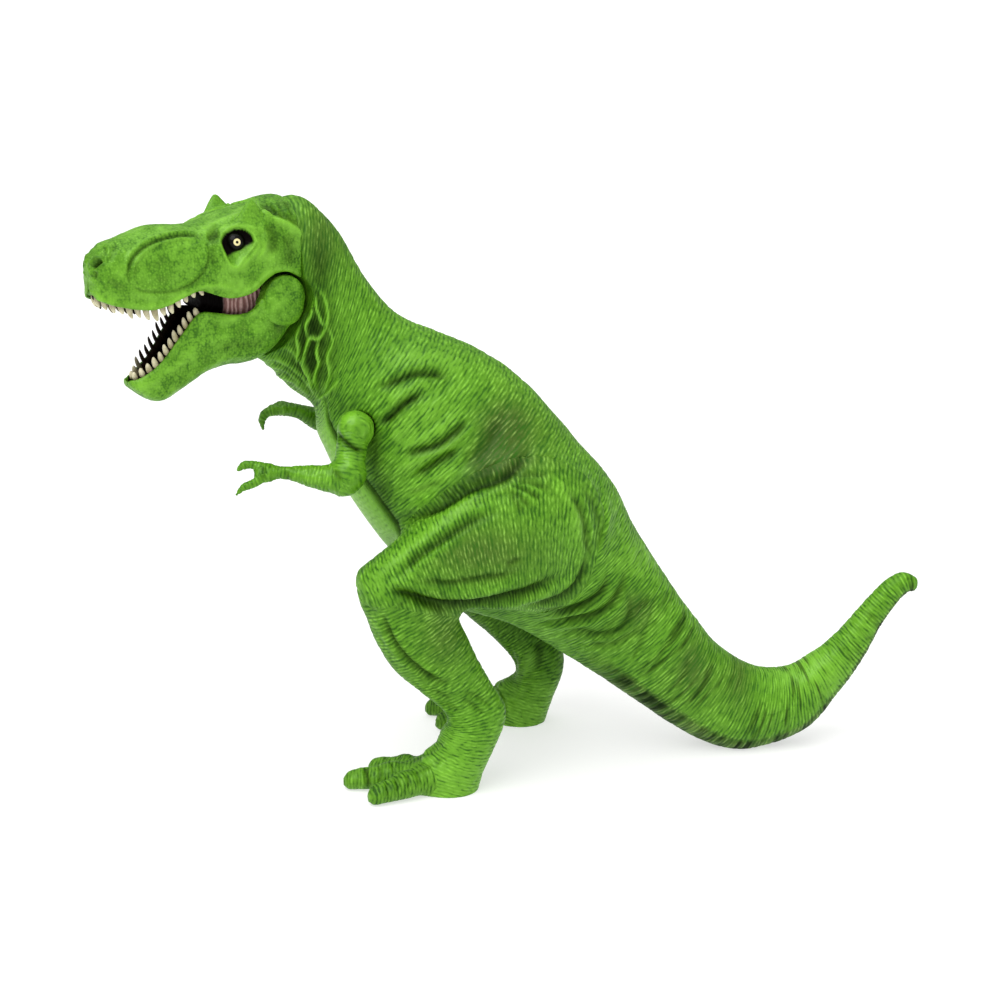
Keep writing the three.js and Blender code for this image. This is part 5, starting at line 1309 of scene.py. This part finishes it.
# Patches of tone on the jaw, as headPatches; the brighter ones are painted highlight
jawPatches = [
    ((272, 300), (10, 12), -0.35), ((255, 335), (24, 12), -0.3), ((215, 335), (16, 10), 0.25),
    ((150, 388), (30, 8), 0.2),
]

print("lower jaw")
skin = jawSkin()
outside = 1 - skin["inside"]
points = skin["points"]
for side in (1, -1):
    points = fillet(points, bossLoft(side), jaw["bossFillets"][0], mask=outside)
normals = normalsOf(points)
seen = facing(points, normals) * outside
pixels = toPicture(points)
height, dark, light = lineRelief(pixels, jawLines)
tone = jaw["tone"] + mottled(points) + patchTone(pixels, jawPatches) + 0.8 * light
height, dark, tone = (np.where(skin["left"], v * seen, mirrored(v * seen)) for v in (height, dark, tone))
scales, lumps, relief = pebbled(points, 41)
height = height + outside * (scales + lumps)
lining = skin["inside"] * np.clip((jaw["paintEnd"] - skin["flow"][..., 2]) / 0.8, 0, 1)
jawShells = [dict(points=points + height[..., None] * normals, flow=skin["flow"], relief=relief,
                  crease=dark, tone=tone, paint=lining)]
for side in (1, -1):
    shell = skinOf(bossLoft(side), 90)
    points = fillet(shell["points"], headLoft(jaw["rows"], 50, 3.2), jaw["bossFillets"][1])
    scales, _, relief = pebbled(points, 41)
    points = points + scales[..., None] * normalsOf(points)
    tone = jaw["tone"] + mottled(points)
    jawShells.append(dict(points=points, flow=shell["flow"], relief=relief, tone=tone))
addPiece("lower_jaw_skin", jawShells, "jaw", ["lower_jaw"], headVinyl)

# Teeth stand on a gum strip inside each lip. Of each row: a tooth's length and width in mm, how far
# back and forward the strip reaches, how far above the lip it lies, on the far side the shares of
# width and length and the slope from which a tooth is black, a painted shade, and the teeth's shares
# of the length from the corner to the front. The strip bends round the front in the last mm given by bend.
teeth = dict(
    thick=1.9, gum=1.5, bend=7, black=0.25,
    # share by which the gum is higher than wide, and how far above its middle a tooth starts in mm
    gumHeight=1.3, start=0.4,
    # share of its length by which a tip leans back, the power of its outline, points round it
    lean=0.2, corner=2.2, sides=14,
    upper=dict(length=4.4, width=2.3, reach=(27, 60.3), off=0.9, far=(1, 1, 0.25),
               shares=[0.5, 0.62, 0.7, 0.8, 0.95, 0.85, 1.1, 0.95, 0.8, 0.95, 0.75, 0.8, 0.7, 0.65]),
    lower=dict(length=3.6, width=2.25, reach=(27, 49.2), off=-0.9, far=(0.62, 1.45, -0.45),
               shares=[0.75, 0.95, 1, 0.9, 1.05, 0.95, 1, 0.9, 1, 0.9, 0.85, 0.75]),
    tilt=(0.5, 0.86),  # forward and up, of the lower teeth
)


def gumCurve(widthAt, heightAt, row, count=200):
    # along one lip from the corner to the front and back along the other: forward goes as a sine
    first, last = row["reach"]
    turn = np.linspace(0, np.pi, count)
    forward = first + (last - first) * np.sin(turn)
    bend = np.clip((forward - (last - teeth["bend"])) / teeth["bend"], 0, 1)
    left = widthAt(forward) * np.sqrt(1 - bend ** 2) * np.sign(np.cos(turn))
    return headPoints(left, forward, heightAt(forward) + row["off"])


def evenly(curve, shares):
    run = runAlong(curve)
    return np.stack([np.interp(shares * run[-1], run, curve[:, i]) for i in range(3)], axis=-1)


def toothShell(base, direction, tangent, length, width, paintFrom):
    # rings shrink as root(1 - s^corner) to the tip, which leans back by the square of s
    s = np.concatenate([[-0.35, 0], np.sin(np.radians(np.linspace(8, 89.5, 14)))])
    lean = teeth["lean"] * length * np.maximum(s, 0) ** 2
    centre = base + column(s) * length * direction - column(lean) * headForward
    radius = np.sqrt(1 - np.clip(s, 0, 1) ** teeth["corner"])
    thick, half = radius * teeth["thick"] / 2, radius * width / 2
    loft = loftOf(centre, unit(np.cross(tangent, direction)), tangent, thick, half, half)
    shell = skinOf(loft, teeth["sides"])
    # the side that faces the mouth's middle is black: painted shade, dark as the inside of the mouth is
    left = (base - hinge) @ headLeft
    inward = -math.copysign(1, left) * (normalsOf(shell["points"]) @ headLeft)
    shell["relief"] = np.broadcast_to(column(s), inward.shape)
    shell["paint"] = np.clip((inward - paintFrom) * 3, 0, 1) * min(max(abs(left) / 3 - 0.6, 0), 1)
    return shell


def toothRow(name, node, body, curve, direction, row):
    count = len(row["shares"])
    half = (np.arange(count) + 0.5) / count / 2
    places = np.concatenate([half, 1 - half])
    ahead, behind = (evenly(curve, np.clip(places + step, 0, 1)) for step in (0.004, -0.004))
    shells = []
    for base, tangent, share in zip(evenly(curve, places), unit(ahead - behind), 2 * row["shares"]):
        onFar = (base - hinge) @ headLeft < -3
        widthShare, lengthShare, paintFrom = row["far"] if onFar else (1, 1, teeth["black"])
        width = (0.75 + 0.25 * share) * widthShare * row["width"]
        length = share * lengthShare * row["length"]
        start = base + teeth["start"] * direction
        shells.append(toothShell(start, direction, tangent, length, width, paintFrom))
    rings = evenly(curve, np.linspace(0.004, 0.996, 160))
    run = unit(np.gradient(rings, axis=0))
    across = unit(np.cross(run, headUp))
    radius = np.full(len(rings), teeth["gum"] / 2)
    tall = teeth["gumHeight"] * radius
    gum = skinOf(loftOf(rings, across, np.cross(across, run), radius, tall, tall), 20)
    addPiece(name, [*shells, dict(gum, paint=1.0)], body, [node], toothPaint)


def upperWidth(forward):
    return readRows(head["skull"], forward, 3) * head["bulge"](0) - head["lipWall"] - teeth["gum"] / 2


def lowerWidth(forward):
    return readRows(jaw["rows"], forward, 3) * jaw["bulge"](0) - jaw["lipWall"] - teeth["gum"] / 2 + 0.3


def lowerTop(forward):
    return readRows(jaw["rows"], forward, 1)


print("teeth")
upperCurve = gumCurve(upperWidth, lipHeight, teeth["upper"])
toothRow("upper_teeth_row", "upper_teeth", "figure", upperCurve, -headUp, teeth["upper"])
leaning = unit(teeth["tilt"][0] * headForward + teeth["tilt"][1] * headUp)
lowerCurve = gumCurve(lowerWidth, lowerTop, teeth["lower"])
toothRow("lower_teeth_row", "lower_teeth", "jaw", lowerCurve, leaning, teeth["lower"])

# Mouth lining: mm from rib to rib, how far the ribs wander as a share of that, half their height in
# mm, where the black starts in mm along it, and rows as the skull's. Tongue: its half width, its
# thickness and the gap under it in mm, and rows of forward, lift, half width and thickness.
mouthLining = dict(ribs=1.7, wobble=0.35, ribHeight=0.22, black=23, rows=np.array([
    [-0.058, 0.05, -0.25, 0.29, -0.1], [0, 0.18, -0.34, 0.29, -0.1], [0.12, 0.2, -0.28, 0.285, -0.05],
    [0.22, 0.27, -0.18, 0.265, 0], [0.3, 0.32, -0.12, 0.24, 0.05], [0.365, 0.3, -0.06, 0.21, 0.1],
]) * headScale)
tongue = dict(half=8.4, thick=3.6, over=0.3, rows=np.array([
    [0.3, 0, 0.42, 0.5], [0.4, 0.3, 0.5, 1], [0.52, 0.3, 0.5, 1], [0.62, 0.2, 0.47, 0.95],
    [0.7, 0.1, 0.4, 0.8], [0.77, 0, 0.2, 0.45], [0.785, 0, 0.05, 0.1],
]))


def mouthShell():
    # a rounded block with ribs across it, black towards the front: the mouth's dark paint and a painted
    # shade of its inside
    shell = skinOf(headLoft(mouthLining["rows"], 160, 4), 120)
    along = shell["flow"][..., 2]
    wobble = mouthLining["wobble"] * latticeNoise(shell["points"] / 3, 51)
    ribs = np.sin(2 * np.pi * (along / mouthLining["ribs"] + wobble))
    sunk = mouthLining["ribHeight"] * (1 - ribs)
    shell["points"] = shell["points"] - sunk[..., None] * normalsOf(shell["points"])
    shell["relief"] = ribs
    shell["paint"] = np.clip((along - mouthLining["black"]) / 1.2, 0, 1)
    return shell


def tongueShell():
    # an ellipse in section that lies on the jaw's floor
    forward, lift, half, thick = curveThrough(tongue["rows"], evenPlaces(tongue["rows"], 70, [0, 2])).T
    forward = forward * figure["jawLength"]
    floor = np.interp(forward, *np.array(jaw["floor"]).T)
    up = floor + tongue["over"] + (0.5 * thick + 0.2 * lift) * tongue["thick"]
    half, thick = half * tongue["half"], thick * tongue["thick"] / 2
    shell = skinOf(loftOf(headPoints(0 * forward, forward, up), headLeft, headUp, half, thick, thick), 48)
    shell["relief"] = latticeNoise(shell["points"] / 1.5, 52)
    shell["paint"] = 0.4
    return shell


print("mouth")
addPiece("mouth_lining", [mouthShell()], "figure", ["mouth_insert"], mouthPaint)
addPiece("tongue_skin", [tongueShell()], "jaw", ["tongue"], mouthPaint)
frame["nodes"]["jaw_hinge_pin"].data.materials.clear()
frame["nodes"]["jaw_hinge_pin"].data.materials.append(drawnSteel)

# Arms: rows of place forward, outward and up from the shoulder, half thickness
leftArm = dict(
    side=-1, tone=-0.02, washAndShade=0,
    folds=[([(335, 431), (341, 438), (348, 444), (356, 449), (366, 452)], 0.75, 0.9, 1.0),
           ([(343, 422), (350, 417), (358, 417)], 2.0, -0.2, 0.9),
           ([(343, 450), (348, 460), (349, 470)], 2.0, -0.2, 0.7),
           ([(331, 470), (337, 474), (341, 481)], 0.8, 0.4, 0.6),
           ([(286, 470), (288, 477), (287, 483)], 0.7, 0.3, 0.6),
           ([(262, 465), (264, 472), (262, 480)], 0.7, 0.3, 0.5),
           ([(300, 476), (320, 478), (338, 484)], 2.0, -0.2, 0.4)],
    upper=[[0.02, 0.02, 0.02, 0.5], [0.05, 0.095, -0.2, 0.52], [0.08, 0.15, -0.34, 0.5],
           [0.1, 0.16, -0.4, 0.38]],
    lower=[[0.06, 0.16, -0.36, 0.42], [0.19, 0.15, -0.38, 0.43], [0.375, 0.13, -0.348, 0.38],
           [0.56, 0.12, -0.32, 0.22], [0.7, 0.12, -0.312, 0.27], [0.78, 0.12, -0.315, 0.2]],
    fingers=[[[0.7, 0.1, -0.3, 0.17], [0.84, 0.08, -0.255, 0.15], [0.91, 0.07, -0.265, 0.13],
              [0.955, 0.07, -0.3, 0.05]],
             [[0.72, 0.14, -0.33, 0.17], [0.83, 0.16, -0.385, 0.15], [0.91, 0.165, -0.42, 0.13],
              [0.965, 0.165, -0.475, 0.05]]],
)
# The far arm's lower tone and its wash darken it all over: painted shade.
rightArm = dict(
    side=1, tone=-0.2, washAndShade=0.28, folds=[([(268, 408), (290, 409), (312, 413)], 1.2, -0.2, 0.8)],
    upper=[[0.02, 0.02, 0.02, 0.5], [0, 0.1, -0.18, 0.48], [0.03, 0.15, -0.31, 0.42],
           [0.05, 0.16, -0.35, 0.3]],
    lower=[[0.02, 0.15, -0.33, 0.34], [0.14, 0.13, -0.25, 0.42], [0.32, 0.09, -0.15, 0.38],
           [0.47, 0.06, -0.08, 0.27], [0.6, 0.06, -0.05, 0.26], [0.69, 0.06, -0.06, 0.2]],
    fingers=[[[0.6, 0.03, -0.05, 0.17], [0.72, 0.02, -0.07, 0.15], [0.78, 0.02, -0.13, 0.13],
              [0.78, 0.02, -0.22, 0.05]],
             [[0.6, 0.09, -0.06, 0.17], [0.74, 0.11, -0.09, 0.15], [0.79, 0.12, -0.16, 0.13],
              [0.78, 0.12, -0.24, 0.05]]],
)


def armTube(shoulder, side, rows, count):
    # a round tube through the rows, with a half ball at each end
    rows = np.array(rows)
    along = shoulder + figure["armLength"] * rows[:, :3] * [-1, side, 1]
    table = np.concatenate([along, figure["armWidth"] * rows[:, 3:]], axis=1)
    line = curveThrough(table, evenPlaces(table, count, slice(0, 3)))
    centre, radius = line[:, :3], line[:, 3]
    run = unit(np.gradient(centre, axis=0))
    turn = np.radians(np.linspace(88, 10, 8))
    start = centre[0] - column(np.sin(turn)) * radius[0] * run[0]
    stop = (centre[-1] + column(np.sin(turn)) * radius[-1] * run[-1])[::-1]
    radius = np.concatenate([radius[0] * np.cos(turn), radius, (radius[-1] * np.cos(turn))[::-1]])
    run = np.concatenate([np.repeat(run[:1], len(turn), axis=0), run, np.repeat(run[-1:], len(turn), axis=0)])
    centre = np.concatenate([start, centre, stop])
    rise = unit(np.cross(run, [0, 1, 0]))
    return loftOf(centre, unit(np.cross(rise, run)), rise, radius, radius, radius)


# Parts of an arm: depth of the wrinkles in mm, share of their relief, added tone, and the others
# that each is joined to, with the fillet's reach in mm
# The added tone of the ball and the upper arm is a painted highlight.
armParts = [
    dict(depth=0.03, relief=0.6, tone=0.25, joined=[(1, 1.5)]),  # ball of the shoulder
    dict(depth=0.07, relief=0.6, tone=0.15, joined=[(0, 1.5), (2, 5)]),  # upper arm
    dict(depth=0.15, relief=0.9, tone=0, joined=[(1, 5), (3, 2), (4, 2)]),  # forearm and hand
    dict(depth=0.15, relief=0.9, tone=0, joined=[(2, 2), (4, 1.5)]),  # first finger
    dict(depth=0.15, relief=0.9, tone=0, joined=[(2, 2), (3, 1.5)]),  # second finger
]
armShape = dict(sides=64, wrinkleScale=0.75, lump=3, lumpHeight=0.2, overlap=0.3)


def armPiece(name, arm, shoulder):
    turn = np.radians(np.linspace(1, 179, 70))
    pole, across, rise = np.array([[0, -1, 0], [1.0, 0, 0], [0, 0, 1.0]])
    tubes = [(arm["upper"], 90), (arm["lower"], 150), *[(finger, 60) for finger in arm["fingers"]]]
    lofts = [ballLoft(shoulder, figure["shoulderRadius"], pole, across, rise, turn),
             *[armTube(shoulder, arm["side"], rows, count) for rows, count in tubes]]
    shells = []
    for loft, part in zip(lofts, armParts):
        shell = skinOf(loft, armShape["sides"])
        points = shell["points"]
        for other, reach in part["joined"]:
            points = fillet(points, lofts[other], reach, overlap=armShape["overlap"])
        normals = normalsOf(points)
        relief = wrinkleRelief(shell["flow"], points, armShape["wrinkleScale"])
        lumps = latticeNoise(points / armShape["lump"], 61) * armShape["lumpHeight"]
        seen = facing(points, normals)
        drawn, dark, light = (v * seen for v in lineRelief(toPicture(points), arm["folds"]))
        height = part["depth"] * relief + lumps + drawn
        shells.append(dict(points=points + height[..., None] * normals, flow=shell["flow"],
                           relief=relief * part["relief"], crease=np.maximum(dark, arm["washAndShade"]),
                           tone=arm["tone"] + part["tone"] + 0.8 * light))
    addPiece(name + "_skin", shells, name, [name], limbSkin)


print("arms")
armPiece("left_arm", leftArm, shoulders["left"])
armPiece("right_arm", rightArm, shoulders["right"])

# Floor, light and camera

studio = dict(ambient=0.42, backdrop=1.1, paper="#b4b4b3", glow=0.6, lamps=[
    # name, direction, spread in degrees, strength
    ("key", (0.45, 0.55, -1.0), 50, 2.3), ("fill", (-0.7, 0.6, -0.5), 70, 0.5),
    ("top", (0, -0.2, -1), 60, 0.9),
])


def stageAndLight():
    # pale paper lit from below as well, which keeps the shadow on it faint
    bpy.ops.mesh.primitive_plane_add(size=8, location=(0, 0, -0.0002))
    floor = bpy.context.object
    floor.name = "floor"
    material, tree, shader = newMaterial("Pale paper sweep")
    shader.inputs["Base Color"].default_value = linear(studio["paper"])
    shader.inputs["Roughness"].default_value = 0.9
    shader.inputs["Emission Color"].default_value = (1, 1, 1, 1)
    shader.inputs["Emission Strength"].default_value = studio["glow"]
    floor.data.materials.append(material)
    world = bpy.data.worlds.new("studio")
    bpy.context.scene.world = world
    world.use_nodes = True
    tree = world.node_tree
    tree.nodes.clear()
    seen = addNode(tree, "ShaderNodeLightPath").outputs["Is Camera Ray"]
    strength = addNode(tree, "ShaderNodeMapRange", {
        0: seen, 3: studio["ambient"], 4: studio["backdrop"]}).outputs[0]
    background = addNode(tree, "ShaderNodeBackground", {"Color": (1, 1, 1, 1), "Strength": strength})
    addNode(tree, "ShaderNodeOutputWorld", {"Surface": background.outputs[0]})
    for name, direction, spread, power in studio["lamps"]:
        light = bpy.data.lights.new(name, "SUN")
        light.angle = math.radians(spread)
        light.energy = power
        lamp = bpy.data.objects.new(name, light)
        bpy.context.scene.collection.objects.link(lamp)
        lamp.rotation_euler = Vector(direction).to_track_quat("-Z", "Y").to_euler()


stageAndLight()
bpy.context.scene.view_settings.view_transform = "Standard"

lens = bpy.data.cameras.new("photo camera")
lens.lens, lens.sensor_width = camera["lens"], camera["sensor"]
lens.clip_start, lens.clip_end = 0.05, 20
viewer = bpy.data.objects.new("photo camera", lens)
bpy.context.scene.collection.objects.link(viewer)
viewer.location = ((eyePoint + onFrame * [1, 1, 0]) / 1000).tolist()
viewer.rotation_euler = Vector((-backward).tolist()).to_track_quat("-Z", "Y").to_euler()
bpy.context.scene.camera = viewer
